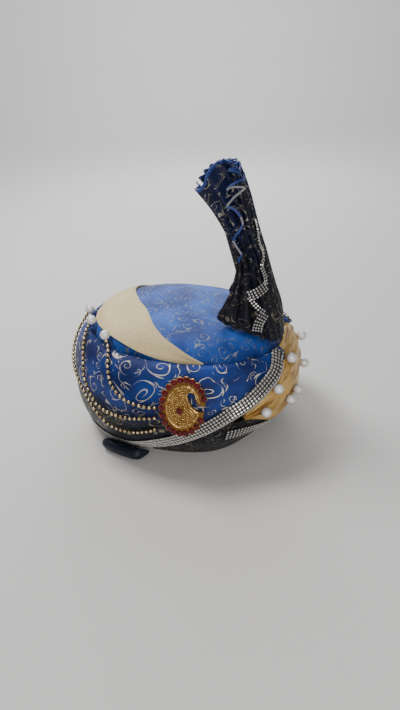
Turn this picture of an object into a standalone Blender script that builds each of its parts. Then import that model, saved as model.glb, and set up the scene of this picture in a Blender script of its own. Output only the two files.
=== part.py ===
"""A groom's ready-tied turban cap: a stiff inner cap, a padded brocade wrap that
leaves a V open over the forehead, gold silk gathered in the V, a cream sash on
the crown, a pleated fan plume, studded ribbons, pearls, bead chains and a brooch.

Metres, +Z up.  The cap faces -Y, and the wearer's right hand side is -X.
A place on the cap is an angle from the middle of the forehead, in degrees and
positive towards the wearer's right, and a position on a table of ovals.
"""
import bisect
import math

import bmesh
import bpy
from mathutils import Matrix, Vector
from mathutils.bvhtree import BVHTree

COLLECTION = "kulla_cap"

# driving sizes
SHIFT_RIGHT = -0.0044       # moves the cap so that the middle of its box is at x = y = 0
SHIFT_FORWARD = 0.0031
GAP = 0.0004                # left between pieces that touch
SEAT = 0.0006               # left between curved pieces, whose facets differ
CAP_WALL = 0.0025           # thickness of the stiff inner cap
ANGLE_STEP = 0.2            # steps, in degrees and on a table, over which a slope is measured
UP_STEP = 0.004
ROW_STEP = 0.01
EDGE_STEPS = 64             # slices of the wrap and of its ribbon
SQUARENESS = 2.2            # exponent of the ovals: 2 is an ellipse
AROUND = 46                 # columns of the inner cap
BACK_RISE = 0.012           # the top is this much higher at the back than over the forehead
FRONT_ARCH = 0.020          # the rim arches up by this over the forehead
ARCH_ANGLES = (18.0, 70.0)  # the arch is full inside the first angle, gone at the second
RIBBON_WIDTH = 0.0150       # four rows of studs
RIBBON_THICK = 0.0016
EDGE_MARGIN = 0.0012        # cloth that shows between a ribbon and the edge of its wrap
PEARL_RADIUS = 0.0057
BEAD_RADIUS = 0.0021
EDGE_BELOW = RIBBON_WIDTH / 2 + EDGE_MARGIN
REST_ANGLES = (99.0, 117.0)  # behind the second angle the wrap reaches down to the flat rest
FRONT_TUCK = 0.0070         # the forehead band lies this much further in at the front
SASH_THICK = 0.0016
PLUME_THICK = 0.0022

# the stiff cap: height of an oval, half its length and width, how far back its middle lies
CAP_ROWS = [
    # height, half_length, half_width, centre_back
    (0.0010, 0.1030, 0.0820, 0.0080),
    (0.0350, 0.1042, 0.0832, 0.0070),
    (0.0750, 0.1072, 0.0856, 0.0052),
    (0.1150, 0.1110, 0.0895, 0.0040),
]
CROWN_ROWS = [
    # height, half_length, half_width, centre_back
    (0.1150, 0.1110, 0.0895, 0.0040),
    (0.1240, 0.1060, 0.0855, 0.0040),
    (0.1320, 0.0930, 0.0750, 0.0040),
    (0.1370, 0.0700, 0.0565, 0.0040),
    (0.1400, 0.0400, 0.0320, 0.0040),
    (0.1410, 0.0120, 0.0095, 0.0040),
]

# the padded wrap, from its bottom edge, over the bulge, to its top edge
WRAP_ROWS = [
    # height, half_length, half_width, centre_back
    (0.0000, 0.1115, 0.0880, 0.0140),
    (0.0090, 0.1215, 0.0980, 0.0132),
    (0.0300, 0.1330, 0.1115, 0.0098),
    (0.0590, 0.1385, 0.1190, 0.0060),
    (0.0870, 0.1365, 0.1170, 0.0045),
    (0.1060, 0.1295, 0.1085, 0.0040),
    (0.1160, 0.1215, 0.0995, 0.0040),
    (0.1195, 0.1155, 0.0935, 0.0040),
]

# the studded ribbon along the wrap's front edge and round the back, on the wearer's right
EDGE_ROWS = [
    # angle, up
    (21.0, 1.00),
    (27.0, 0.86),
    (33.5, 0.73),
    (43.5, 0.64),
    (52.5, 0.57),
    (62.5, 0.51),
    (72.5, 0.44),
    (80.5, 0.38),
    (88.5, 0.32),
    (98.0, 0.25),
    (108.0, 0.19),
    (120.0, 0.16),
    (140.0, 0.15),
    (160.0, 0.15),
    (180.0, 0.15),
]

# the cream sash over the back of the crown
SASH_ROWS = [
    # angle, outer_inward, inner_inward
    (72.0, 0.055, 0.080),
    (86.0, 0.060, 0.330),
    (100.0, 0.130, 0.530),
    (114.0, 0.205, 0.650),
    (128.0, 0.245, 0.710),
    (142.0, 0.245, 0.735),
    (156.0, 0.230, 0.735),
    (170.0, 0.210, 0.710),
    (184.0, 0.190, 0.665),
    (198.0, 0.175, 0.585),
    (212.0, 0.150, 0.465),
    (226.0, 0.110, 0.310),
    (240.0, 0.070, 0.120),
]

# the fan plume, row by row: how far ahead of the cap's middle its spine, sides and back
# lie, half its width, how far it leans right, how far it turns to each side of the spine
PLUME_ROWS = [
    # height, spine, sides, back, half_width, lean, half_turn, fold_depth
    (0.1220, 0.1070, 0.0780, 0.0340, 0.0385, 0.0000, 125.0, 0.0012),
    (0.1500, 0.1020, 0.0700, 0.0250, 0.0390, 0.0000, 125.0, 0.0022),
    (0.1720, 0.0950, 0.0700, 0.0420, 0.0325, 0.0000, 125.0, 0.0026),
    (0.1960, 0.0885, 0.0710, 0.0550, 0.0260, 0.0010, 130.0, 0.0026),
    (0.2180, 0.0825, 0.0690, 0.0570, 0.0240, 0.0020, 135.0, 0.0028),
    (0.2400, 0.0745, 0.0615, 0.0505, 0.0260, 0.0040, 155.0, 0.0032),
    (0.2620, 0.0665, 0.0525, 0.0390, 0.0300, 0.0070, 170.0, 0.0030),
    (0.2840, 0.0570, 0.0395, 0.0215, 0.0330, 0.0110, 176.0, 0.0022),
]
PLUME_SQUARENESS = 0.75     # exponent of its plan: 1 is an ellipse, less has fuller corners
PLUME_PLEATS = 14
PLUME_TOP_RISE = 0.010      # the rim is this much higher over the spine than at the back
PLUME_TOP_SLOPE = 0.22      # and climbs towards the wearer's left
PLUME_TOP_START = 0.6       # share of the plume's height at which the rise begins
PLUME_CLOSING = 0.55        # share of its half width by which the wearer's right side leans in there
PLUME_CLOSING_RISE = 0.019  # and by how much it rises as it does
PLUME_CLOSING_SPAN = (-0.75, 0.25)  # cosines of the turns between which the closing begins and is full

# gathered gold silk: from its hem on the forehead band to the wrap's edge
DRAPE_ANGLE = 53.0
DRAPE_HEM = 0.43            # height of the hem at the silk's corners
DRAPE_HEM_FRONT = 0.34      # and over the forehead
DRAPE_HEM_SPAN = (28.0, 53.0)  # between these angles it rises from the one to the other
DRAPE_TUCK = 0.3            # share of the band's tuck that the silk follows
DRAPE_TOP = 0.965
DRAPE_INSET = 0.0042
DRAPE_PUFF = 0.0022
DRAPE_PUFFS = 4.5
DRAPE_PUFF_SLANT = 0.9      # the puffs run up to the front by this share of their number
DRAPE_FLAT = 0.12           # share of the silk's height over which the puffs fade at its edges
BAND_CLEAR = 0.008          # left between the wrap's edge and what lies below it
DRAPE_CLEAR = 0.022
TUCK_SPAN = (28.0, 80.0)    # the tuck is full inside the first angle, gone at the second
TUCK_UPS = (0.28, 0.38, 0.70)  # and full between the first two heights, gone at the third
WRAP_END = 0.93             # the wrap stops where its edge has climbed this far
EDGE_RIBBON_END = 0.985
BAND_RIBBON_LIFT = 0.0007
EDGE_RIBBON_LIFT = 0.0009
SASH_LIFT = 0.0009
PLUME_SEAT = 0.0007
PLUME_FOOT_RISE = 0.06      # slope of the lowest rows of the sheet above what it stands on

# the dark band over the forehead, below the gold silk
BAND_ANGLE = 97.0
BAND_TOP_BELOW_HEM = 0.01
BAND_INSET = 0.0040
BAND_INSET_FULL = 0.2       # height on the table at which the band is that far in
BAND_RIBBON_ANGLE = 62.0
BAND_RIBBON_FRONT = 0.287   # height of the ribbon's middle line over the forehead
BAND_RIBBON_RISE = 0.048    # and how much higher its ends lie
BAND_RIBBON_SPAN = (28.0, 62.0)
BAND_RIBBON_SCALE = 5.4     # how far on the table the ribbon reaches for each metre of its width

# large pearls at the chains' back ends, and pearls sewn down both sides of the silk
CHAIN_PEARLS = {
    "upper": ("crown", 130.5, 0.21),
    "middle": ("crown", 156.0, 0.19),
    "lower": ("wrap", 178.0, 0.92),
}
DRAPE_PEARLS = {
    "right": [(18.5, 0.735), (34.5, 0.58), (43.0, 0.470)],
    "left": [(-12.0, 0.67), (-6.0, 0.49), (14.0, 0.460), (22.5, 0.445)],
}

# bead chains on the wrap, from the pearl to the brooch
CHAIN_ROUTES = {
    "upper": [(122.5, 0.95), (115.5, 0.68), (110.5, 0.59), (103.5, 0.545), (95.5, 0.535), (91.4, 0.54)],
    "middle": [(153.0, 0.94), (138.0, 0.69), (132.0, 0.56), (124.5, 0.475), (117.0, 0.445),
               (106.0, 0.445), (96.0, 0.47), (91.6, 0.485)],
    "lower": [(172.0, 0.80), (161.5, 0.64), (149.0, 0.56), (136.0, 0.50), (127.5, 0.44), (120.5, 0.38),
              (113.0, 0.35), (103.5, 0.355), (96.0, 0.385), (91.8, 0.415)],
}
CHAIN_STEP = 0.0095         # about this far between the points of a tube

# the paisley brooch, in its own plane: x forward, y up
BROOCH_SPOT = (82.0, 0.565)
BROOCH_HALF = (0.0218, 0.0305)  # half the width and height of the ring of stones
BROOCH_TILT = 10.0
BROOCH_PLATE = 0.0028
BROOCH_LIP = 0.0010         # the plate reaches this far outside the stones' middles
STONE_RADIUS = 0.0034
STONE_LEVELS = [
    # height, share_of_radius
    (-0.0012, 1.06),        # foot of the collet, inside the plate
    (0.0010, 1.06),         # its rim
    (0.0012, 0.92),         # girdle of the stone
    (0.0024, 0.55),         # table
]
STONE_COUNT = 20
STONE_SPAN = (-22.0, 312.0)  # the ring starts below the hook's tip and runs round clockwise
CENTRE_STONE = (-0.0036, -0.0045)
SLOT_WIDTH = 0.0070
SLOT_DEPTH = 0.02           # of the cutter, half above and half below the plate's foot
SLOT_PATH = [(0.0270, -0.0030), (0.0165, -0.0015), (0.0110, 0.0050), (0.0088, 0.0125)]

# the end of the cloth, rolled and tucked under the wrap behind the wearer's right ear
ROLL_ANGLES = (96.5, 122.5)
ROLL_RADIUS = 0.0078
ROLL_END_SHARE = 0.06       # square of the end slices' share of the radius
ROLL_FULLNESS = 6           # exponent: the higher, the later the roll narrows to its ends
ROLL_FOOT_UP = 0.1          # height on the wrap's table below which it is tucked
ROLL_OUT = 0.002

BLUE = (0.018, 0.055, 0.22)
NAVY = (0.008, 0.014, 0.045)
CREAM = (0.66, 0.56, 0.38)
GOLD_SILK = (0.62, 0.42, 0.17)
SILVER = (0.75, 0.75, 0.76)
BRASS = (0.80, 0.60, 0.28)
PEARL = (0.85, 0.83, 0.78)


def spline(rows, position):
    """One row between the rows of a table, on a smooth curve; position runs 0 to 1."""
    last = len(rows) - 1
    along = min(max(position, 0.0), 1.0) * last
    start = min(int(along), last - 1)
    t = along - start
    p1, p2 = rows[start], rows[start + 1]
    p0 = rows[start - 1] if start > 0 else [2 * a - b for a, b in zip(p1, p2)]
    p3 = rows[start + 2] if start + 2 <= last else [2 * b - a for a, b in zip(p1, p2)]
    return tuple(
        0.5 * (2 * b + (c - a) * t + (2 * a - 5 * b + 4 * c - d) * t * t + (3 * b - a - 3 * c + d) * t ** 3)
        for a, b, c, d in zip(p0, p1, p2, p3))


def smooth_step(value):
    t = min(max(value, 0.0), 1.0)
    return t * t * (3.0 - 2.0 * t)


def spread(start, end, steps):
    return [start + (end - start) * i / steps for i in range(steps + 1)]


def place(forward, right, up):
    """Turn distances towards the forehead, the wearer's right and up into a point."""
    return Vector((-right - SHIFT_RIGHT, -forward - SHIFT_FORWARD, up))


def oval(angle, height, half_length, half_width, centre_back):
    """The point at an angle on one oval of the cap, whose top slopes up to the back."""
    c, s = math.cos(math.radians(angle)), math.sin(math.radians(angle))
    power = 2.0 / SQUARENESS
    forward = math.copysign(abs(c) ** power, c) * half_length - centre_back
    right = math.copysign(abs(s) ** power, s) * half_width
    behind = 0.5 * (1.0 - forward / CAP_ROWS[-1][1])
    return place(forward, right, height * (1.0 + behind * BACK_RISE / CAP_ROWS[-1][0]))


def arch(angle):
    """How far the rim stands up over the forehead."""
    inner, outer = ARCH_ANGLES
    return FRONT_ARCH * smooth_step((outer - abs(angle)) / (outer - inner))


def wrap_point(angle, up, inset=0.0):
    """A point on the wrap; up runs from 0, bottom edge, to 1, top edge."""
    height, half_length, half_width, back = spline(WRAP_ROWS, up)
    return oval(angle, height, half_length - inset, half_width - inset, back)


def crown_point(angle, inward):
    """A point on the crown; inward runs from 0, at its edge, to 1, close to the middle."""
    return oval(angle, *spline(CROWN_ROWS, inward))


def cap_side_point(angle, height, outside):
    """A point of a given height beside the stiff cap's wall, a little outside it."""
    low, high = 0.0, 1.0
    for _ in range(24):
        middle = 0.5 * (low + high)
        if oval(angle, *spline(CAP_ROWS, middle)).z < height:
            low = middle
        else:
            high = middle
    level, half_length, half_width, back = spline(CAP_ROWS, 0.5 * (low + high))
    point = oval(angle, level, half_length + outside, half_width + outside, back)
    point.z = height
    return point


def slopes(surface, angle, up):
    """How a surface point moves with each of its two numbers."""
    by_angle = (surface(angle + ANGLE_STEP, up) - surface(angle - ANGLE_STEP, up)) / (2 * ANGLE_STEP)
    high, low = min(up + UP_STEP, 1.0), up - UP_STEP
    return by_angle, (surface(angle, high) - surface(angle, low)) / (high - low)


def outward(surface, angle, up):
    by_angle, by_up = slopes(surface, angle, up)
    normal = by_angle.cross(by_up).normalized()
    return normal if normal.dot(surface(angle, up) - Vector((0, 0, 0.05))) > 0 else -normal


def step_beside(surface, angle, up, direction, distance):
    """Walk a distance over a surface along a direction, and give the angle and height there."""
    by_angle, by_up = slopes(surface, angle, up)
    aa, bb, ab = by_angle.dot(by_angle), by_up.dot(by_up), by_angle.dot(by_up)
    da, db = by_angle.dot(direction), by_up.dot(direction)
    whole = aa * bb - ab * ab
    return (angle + distance * (da * bb - db * ab) / whole,
            up + distance * (db * aa - da * ab) / whole)


def edge_place(along, below):
    """Angle and height beside the edge ribbon's middle line, below it by a distance.

    along runs from -1, at the front on the wearer's left, through 0 at the back of
    the head, to 1 at the front on the wearer's right.
    """
    place_on_rows = 1.0 - abs(along)
    angle, up = spline(EDGE_ROWS, place_on_rows)
    ahead = spline(EDGE_ROWS, place_on_rows + ROW_STEP)
    behind = spline(EDGE_ROWS, place_on_rows - ROW_STEP)
    run = wrap_point(*ahead) - wrap_point(*behind)
    across = run.normalized().cross(outward(wrap_point, angle, up))
    if across.z > 0:
        across = -across
    angle, up = step_beside(wrap_point, angle, up, across, below)
    return math.copysign(angle, along), up


def above_rest(angle, up):
    """Bring the wrap's lower edge down to its flat rest at the back."""
    start, end = REST_ANGLES
    return max(up, 0.0) * smooth_step((end - abs(angle)) / (end - start))


def edge_height(angle):
    """How high up the wrap its lower edge lies at an angle."""
    low, high = 0.0, 1.0
    for _ in range(24):
        middle = 0.5 * (low + high)
        if edge_place(middle, EDGE_BELOW)[0] > abs(angle):
            low = middle
        else:
            high = middle
    return above_rest(angle, edge_place(high, EDGE_BELOW)[1])


def front_tuck(angle, up):
    """How much further in the cloth below the wrap's front edge lies."""
    full, gone = TUCK_SPAN
    low, high, top = TUCK_UPS
    beside = smooth_step((gone - abs(angle)) / (gone - full))
    return FRONT_TUCK * beside * smooth_step(up / low) * smooth_step((top - up) / (top - high))


def new_material(name, rgb, rough, metal):
    material = bpy.data.materials.new(name)
    material.use_nodes = True
    shader = material.node_tree.nodes["Principled BSDF"]
    shader.inputs["Base Color"].default_value = (*rgb, 1.0)
    shader.inputs["Roughness"].default_value = rough
    shader.inputs["Metallic"].default_value = metal
    return material


def new_object(name, mesh, rgb, rough=0.6, metal=0.0):
    mesh.materials.append(new_material(name, rgb, rough, metal))
    obj = bpy.data.objects.new(name, mesh)
    bpy.data.collections[COLLECTION].objects.link(obj)
    return obj


def loft(name, rings, closed_rings=True, ends=True):
    """Quads between rings of points, the end rings closed by one face each."""
    bm = bmesh.new()
    rows = [[bm.verts.new(p) for p in ring] for ring in rings]
    count = len(rings[0])
    for low, high in zip(rows, rows[1:]):
        for i in range(count if closed_rings else count - 1):
            j = (i + 1) % count
            bm.faces.new((low[i], low[j], high[j], high[i]))
    if ends and closed_rings:
        bm.faces.new(list(reversed(rows[0])))
        bm.faces.new(rows[-1])
    bmesh.ops.recalc_face_normals(bm, faces=bm.faces)
    mesh = bpy.data.meshes.new(name)
    bm.to_mesh(mesh)
    bm.free()
    mesh.shade_smooth()
    mesh.set_sharp_from_angle(angle=math.radians(50))
    return mesh


def skin_tree(*objects):
    """The faces of finished pieces, for finding the distance to them."""
    bpy.context.view_layer.update()
    graph = bpy.context.evaluated_depsgraph_get()
    points, faces = [], []
    for obj in objects:
        mesh = obj.evaluated_get(graph).to_mesh()
        start = len(points)
        points += [obj.matrix_world @ v.co for v in mesh.vertices]
        faces += [[start + i for i in face.vertices] for face in mesh.polygons]
        obj.evaluated_get(graph).to_mesh_clear()
    return BVHTree.FromPolygons(points, faces)


def seat(tree, start, direction, clearance, reach=0.03):
    """Move a centre in from outside until its nearest skin lies at the clearance."""
    low, high = -0.5 * reach, reach
    for _ in range(30):
        middle = 0.5 * (low + high)
        near = tree.find_nearest(start + direction * middle)
        inside = (start + direction * middle - near[0]).dot(near[1]) < 0
        if inside or near[3] < clearance:
            low = middle
        else:
            high = middle
    return start + direction * high


def clear_scene():
    for obj in list(bpy.data.objects):
        bpy.data.objects.remove(obj, do_unlink=True)
    for name in (COLLECTION, "cutters"):
        bpy.context.scene.collection.children.link(bpy.data.collections.new(name))


def build_inner_cap():
    """The stiff cap under the wraps: an open shell, its rim arched over the forehead."""
    columns = spread(0, 360, AROUND)[:-1]
    rings = []
    for row in CAP_ROWS:
        ring = [oval(a, *row) for a in columns]
        fade = 1.0 - min(1.0, row[0] / CAP_ROWS[2][0])
        for angle, point in zip(columns, ring):
            point.z += arch(angle if angle <= 180 else 360 - angle) * fade
        rings.append(ring)
    steps = len(CROWN_ROWS) - 1
    rings += [[crown_point(a, i / steps) for a in columns] for i in range(1, steps + 1)]
    bm = bmesh.new()
    rows = [[bm.verts.new(p) for p in ring] for ring in rings]
    for low, high in zip(rows, rows[1:]):
        for i in range(AROUND):
            j = (i + 1) % AROUND
            bm.faces.new((low[i], low[j], high[j], high[i]))
    bm.faces.new(rows[-1])
    bmesh.ops.recalc_face_normals(bm, faces=bm.faces)
    mesh = bpy.data.meshes.new("inner_cap")
    bm.to_mesh(mesh)
    bm.free()
    if mesh.polygons[0].normal.dot(mesh.polygons[0].center) < 0:
        mesh.flip_normals()
    mesh.shade_smooth()
    obj = new_object("inner_cap", mesh, BLUE)
    shell = obj.modifiers.new("wall", "SOLIDIFY")
    shell.thickness = CAP_WALL
    shell.offset = -1.0
    shell.use_even_offset = True
    return obj


def wrap_ring(angle, low, outer_steps=8, inner_steps=3):
    """One upright slice through the padding: up the outside, down beside the cap."""
    ring = [wrap_point(angle, up) for up in spread(low, 1.0, outer_steps)]
    top = cap_side_point(angle, oval(angle, *CAP_ROWS[-1]).z, SEAT).z
    return ring + [cap_side_point(angle, z, SEAT) for z in spread(top, ring[0].z, inner_steps)]


def build_wrap():
    """The wound, padded brocade: from one side of the V round the back to the other."""
    rings = []
    for along in spread(-1.0, 1.0, EDGE_STEPS):
        angle, low = edge_place(along, EDGE_BELOW)
        if low < WRAP_END:
            rings.append(wrap_ring(angle % 360, above_rest(angle, low)))
    return new_object("side_wrap", loft("side_wrap", rings), BLUE)


def strip_ring(surface, places, lift, thickness):
    """A slice across a flat strip lying on a surface, from the places of its points."""
    low, high = [], []
    for angle, up in places:
        normal = outward(surface, angle, up)
        low.append(surface(angle, up) + normal * lift)
        high.append(surface(angle, up) + normal * (lift + thickness))
    return low + high[::-1]


def build_edge_ribbon():
    rings = []
    for along in spread(-EDGE_RIBBON_END, EDGE_RIBBON_END, EDGE_STEPS):
        places = [edge_place(along, below) for below in spread(-RIBBON_WIDTH / 2, RIBBON_WIDTH / 2, 2)]
        rings.append(strip_ring(wrap_point, places, EDGE_RIBBON_LIFT, RIBBON_THICK))
    return new_object("edge_ribbon", loft("edge_ribbon", rings), SILVER, 0.3, 0.8)


def drape_hem(angle):
    """Height of the silk's hem on the wrap's table."""
    start, end = DRAPE_HEM_SPAN
    return DRAPE_HEM_FRONT + (DRAPE_HEM - DRAPE_HEM_FRONT) * smooth_step((abs(angle) - start) / (end - start))


def band_point(angle, up):
    """The band lies a little inside the wrap's bulge, and its foot follows the arched rim."""
    point = wrap_point(angle, up, BAND_INSET * smooth_step(up / BAND_INSET_FULL) + front_tuck(angle, up))
    point.z += arch(angle) * max(0.0, 1.0 - up / (drape_hem(angle) - BAND_TOP_BELOW_HEM))
    return point


def build_band():
    """Dark cloth over the forehead, under the silk and the wrap's edge."""
    rings = []
    for angle in spread(-BAND_ANGLE, BAND_ANGLE, 36):
        top = min(drape_hem(angle) - BAND_TOP_BELOW_HEM, edge_height(angle) - BAND_CLEAR)
        outer = [band_point(angle, up) for up in spread(0.0, top, 4)]
        inner = [cap_side_point(angle, z, SEAT) for z in (outer[-1].z, outer[0].z)]
        rings.append(outer + inner)
    return new_object("forehead_band", loft("forehead_band", rings), NAVY)


def band_ribbon_place(angle, below):
    """The band's own ribbon follows the hem of the silk."""
    start, end = BAND_RIBBON_SPAN
    rise = BAND_RIBBON_RISE * smooth_step((abs(angle) - start) / (end - start))
    return angle, BAND_RIBBON_FRONT + rise - below * BAND_RIBBON_SCALE


def build_band_ribbon():
    rings = []
    for angle in spread(-BAND_RIBBON_ANGLE, BAND_RIBBON_ANGLE, 26):
        places = [band_ribbon_place(angle, b) for b in spread(-RIBBON_WIDTH / 2, RIBBON_WIDTH / 2, 2)]
        rings.append(strip_ring(band_point, places, BAND_RIBBON_LIFT, RIBBON_THICK))
    return new_object("front_ribbon", loft("front_ribbon", rings), SILVER, 0.3, 0.8)


def drape_point(angle, up, share):
    """The silk's outside; share runs from 0 at its hem to 1 at its top."""
    slant = angle / DRAPE_ANGLE
    fold = 0.5 + 0.5 * math.cos(2 * math.pi * (DRAPE_PUFFS * share + DRAPE_PUFF_SLANT * abs(slant)))
    edge = smooth_step(share / DRAPE_FLAT) * smooth_step((1.0 - share) / DRAPE_FLAT)
    tuck = DRAPE_TUCK * front_tuck(angle, up)
    return wrap_point(angle, up, DRAPE_INSET - DRAPE_PUFF * (fold - 0.5) * edge + tuck)


def build_drape():
    """Gold silk gathered across the V."""
    rings = []
    for angle in spread(-DRAPE_ANGLE, DRAPE_ANGLE, 34):
        top = min(DRAPE_TOP, edge_height(angle) - DRAPE_CLEAR)
        hem = drape_hem(angle)
        outer = [drape_point(angle, hem + (top - hem) * i / 12, i / 12) for i in range(13)]
        ceiling = min(outer[-1].z, oval(angle, *CAP_ROWS[-1]).z)
        inner = [cap_side_point(angle, z, SEAT) for z in (ceiling, 0.5 * (ceiling + outer[0].z), outer[0].z)]
        rings.append(outer + inner)
    return new_object("front_drape", loft("front_drape", rings), GOLD_SILK, 0.4)


def build_sash():
    """A cream crescent laid over the back of the crown."""
    rings = []
    for share in spread(0.0, 1.0, 26):
        angle, outer, inner = spline(SASH_ROWS, share)
        places = [(angle, inward) for inward in spread(outer, inner, 4)]
        rings.append(strip_ring(crown_point, places, SASH_LIFT, SASH_THICK))
    return new_object("crown_sash", loft("crown_sash", rings), CREAM, 0.7)


def plume_point(across, share, floor):
    """The pleated sheet; across runs from -1 to 1 between its back edges, share from foot to rim."""
    height, spine, sides, back, half_width, lean, half_turn, depth = spline(PLUME_ROWS, share)
    turn = math.radians(half_turn * across)
    c, s = math.cos(turn), math.sin(turn)
    reach = (spine - sides) if c > 0 else (sides - back)
    fold = math.cos(math.pi * PLUME_PLEATS * (across + 1.0)) * depth
    forward = sides + math.copysign(abs(c) ** PLUME_SQUARENESS, c) * reach + fold * c
    top = smooth_step((share - PLUME_TOP_START) / (1.0 - PLUME_TOP_START))
    start, end = PLUME_CLOSING_SPAN
    closing = max(0.0, s) ** PLUME_SQUARENESS * smooth_step((c - start) / (end - start)) * top
    reach = math.copysign(abs(s) ** PLUME_SQUARENESS, s) - PLUME_CLOSING * closing
    right = lean + reach * half_width + fold * s
    climb = PLUME_TOP_RISE * (0.5 + 0.5 * c) + PLUME_TOP_SLOPE * (lean + half_width - right)
    point = place(forward, right, height + climb * top + PLUME_CLOSING_RISE * closing)
    under = []
    for x, y in ((0, 0), (1, 0), (-1, 0), (0, 1), (0, -1)):
        start = Vector((point.x + x * PLUME_THICK, point.y + y * PLUME_THICK, 0.5))
        hit = floor.ray_cast(start, Vector((0, 0, -1)))
        under.append(hit[0].z if hit[0] else 0.0)
    lowest = max(under) + PLUME_SEAT + PLUME_FOOT_RISE * share
    if share == 0.0 or point.z < lowest:
        point.z = lowest
    return point


def build_plume(floor):
    """The brocade fan: one sheet in accordion pleats, bent round its front spine."""
    columns = spread(-1.0, 1.0, 2 * PLUME_PLEATS)
    rings = [[plume_point(c, share, floor) for c in columns] for share in spread(0.0, 1.0, 10)]
    mesh = loft("fan_plume", rings, closed_rings=False)
    obj = new_object("fan_plume", mesh, NAVY)
    sheet = obj.modifiers.new("sheet", "SOLIDIFY")
    sheet.thickness = PLUME_THICK
    sheet.offset = 0.0
    return obj


def sphere(name, centre, radius, rgb, rough, metal=0.0, segments=12, rings=8):
    bm = bmesh.new()
    bmesh.ops.create_uvsphere(bm, u_segments=segments, v_segments=rings, radius=radius)
    mesh = bpy.data.meshes.new(name)
    bm.to_mesh(mesh)
    bm.free()
    mesh.shade_smooth()
    obj = new_object(name, mesh, rgb, rough, metal)
    obj.location = centre
    return obj


def build_chain_pearls(tree):
    """A large pearl where each chain ends, resting on the cloth below it."""
    pearls = {}
    surfaces = {"wrap": wrap_point, "crown": crown_point}
    for strand, (surface_name, angle, up) in CHAIN_PEARLS.items():
        surface = surfaces[surface_name]
        normal = outward(surface, angle, up)
        centre = seat(tree, surface(angle, up) + normal * PEARL_RADIUS, normal, PEARL_RADIUS + GAP)
        pearls[strand] = sphere(f"pearl_{strand}_chain", centre, PEARL_RADIUS, PEARL, 0.2)
    return pearls


def build_drape_pearls(tree):
    """Pearls sewn down both sides of the silk."""
    for side_name, places in DRAPE_PEARLS.items():
        for number, (angle, up) in enumerate(places, start=1):
            normal = outward(wrap_point, angle, up)
            start = wrap_point(angle, up) + normal * PEARL_RADIUS
            centre = seat(tree, start, normal, PEARL_RADIUS + GAP)
            sphere(f"drape_pearl_{side_name}_{number}", centre, PEARL_RADIUS, PEARL, 0.2, segments=10, rings=6)


def build_chain(strand, pearl):
    """A string of brass beads, here the tube that its beads fill."""
    rows = CHAIN_ROUTES[strand]
    fine = [wrap_point(*spline(rows, s)) + outward(wrap_point, *spline(rows, s)) * (BEAD_RADIUS + SEAT)
            for s in spread(0.0, 1.0, 200)]
    toward = (fine[0] - pearl.location).normalized()
    fine.insert(0, pearl.location + toward * (PEARL_RADIUS + GAP))
    lengths = [0.0]
    for start, end in zip(fine, fine[1:]):
        lengths.append(lengths[-1] + (end - start).length)
    steps = round(lengths[-1] / CHAIN_STEP)
    points = []
    for wanted in spread(0.0, lengths[-1], steps):
        index = min(bisect.bisect_left(lengths, wanted), len(fine) - 1)
        points.append(fine[index])
    curve = bpy.data.curves.new(f"bead_chain_{strand}", "CURVE")
    curve.dimensions = "3D"
    curve.bevel_depth = BEAD_RADIUS
    curve.bevel_resolution = 2
    curve.use_fill_caps = True
    line = curve.splines.new("POLY")
    line.points.add(len(points) - 1)
    for target, point in zip(line.points, points):
        target.co = (*point, 1.0)
    curve.materials.append(new_material(curve.name, BRASS, 0.3, 1.0))
    obj = bpy.data.objects.new(curve.name, curve)
    bpy.data.collections[COLLECTION].objects.link(obj)
    return obj


def ring_of_stones(share):
    """A point on the tilted oval on which the brooch's stones sit."""
    turn = math.radians(STONE_SPAN[0] - STONE_SPAN[1] * share)
    x, y = BROOCH_HALF[0] * math.cos(turn), BROOCH_HALF[1] * math.sin(turn)
    tilt = math.radians(-BROOCH_TILT)
    return (x * math.cos(tilt) - y * math.sin(tilt), x * math.sin(tilt) + y * math.cos(tilt))


def add_gem(bm, x, y, base, radius, facets=8):
    """A collet with a cut stone: girdle, crown facets and a flat table."""
    rings = []
    for height, share in STONE_LEVELS:
        turns = [2 * math.pi * i / facets for i in range(facets)]
        rings.append([bm.verts.new((x + radius * share * math.cos(t), y + radius * share * math.sin(t),
                                    base + height)) for t in turns])
    for low, high in zip(rings, rings[1:]):
        for i in range(facets):
            j = (i + 1) % facets
            bm.faces.new((low[i], low[j], high[j], high[i]))
    bm.faces.new(list(reversed(rings[0])))
    bm.faces.new(rings[-1])


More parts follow.
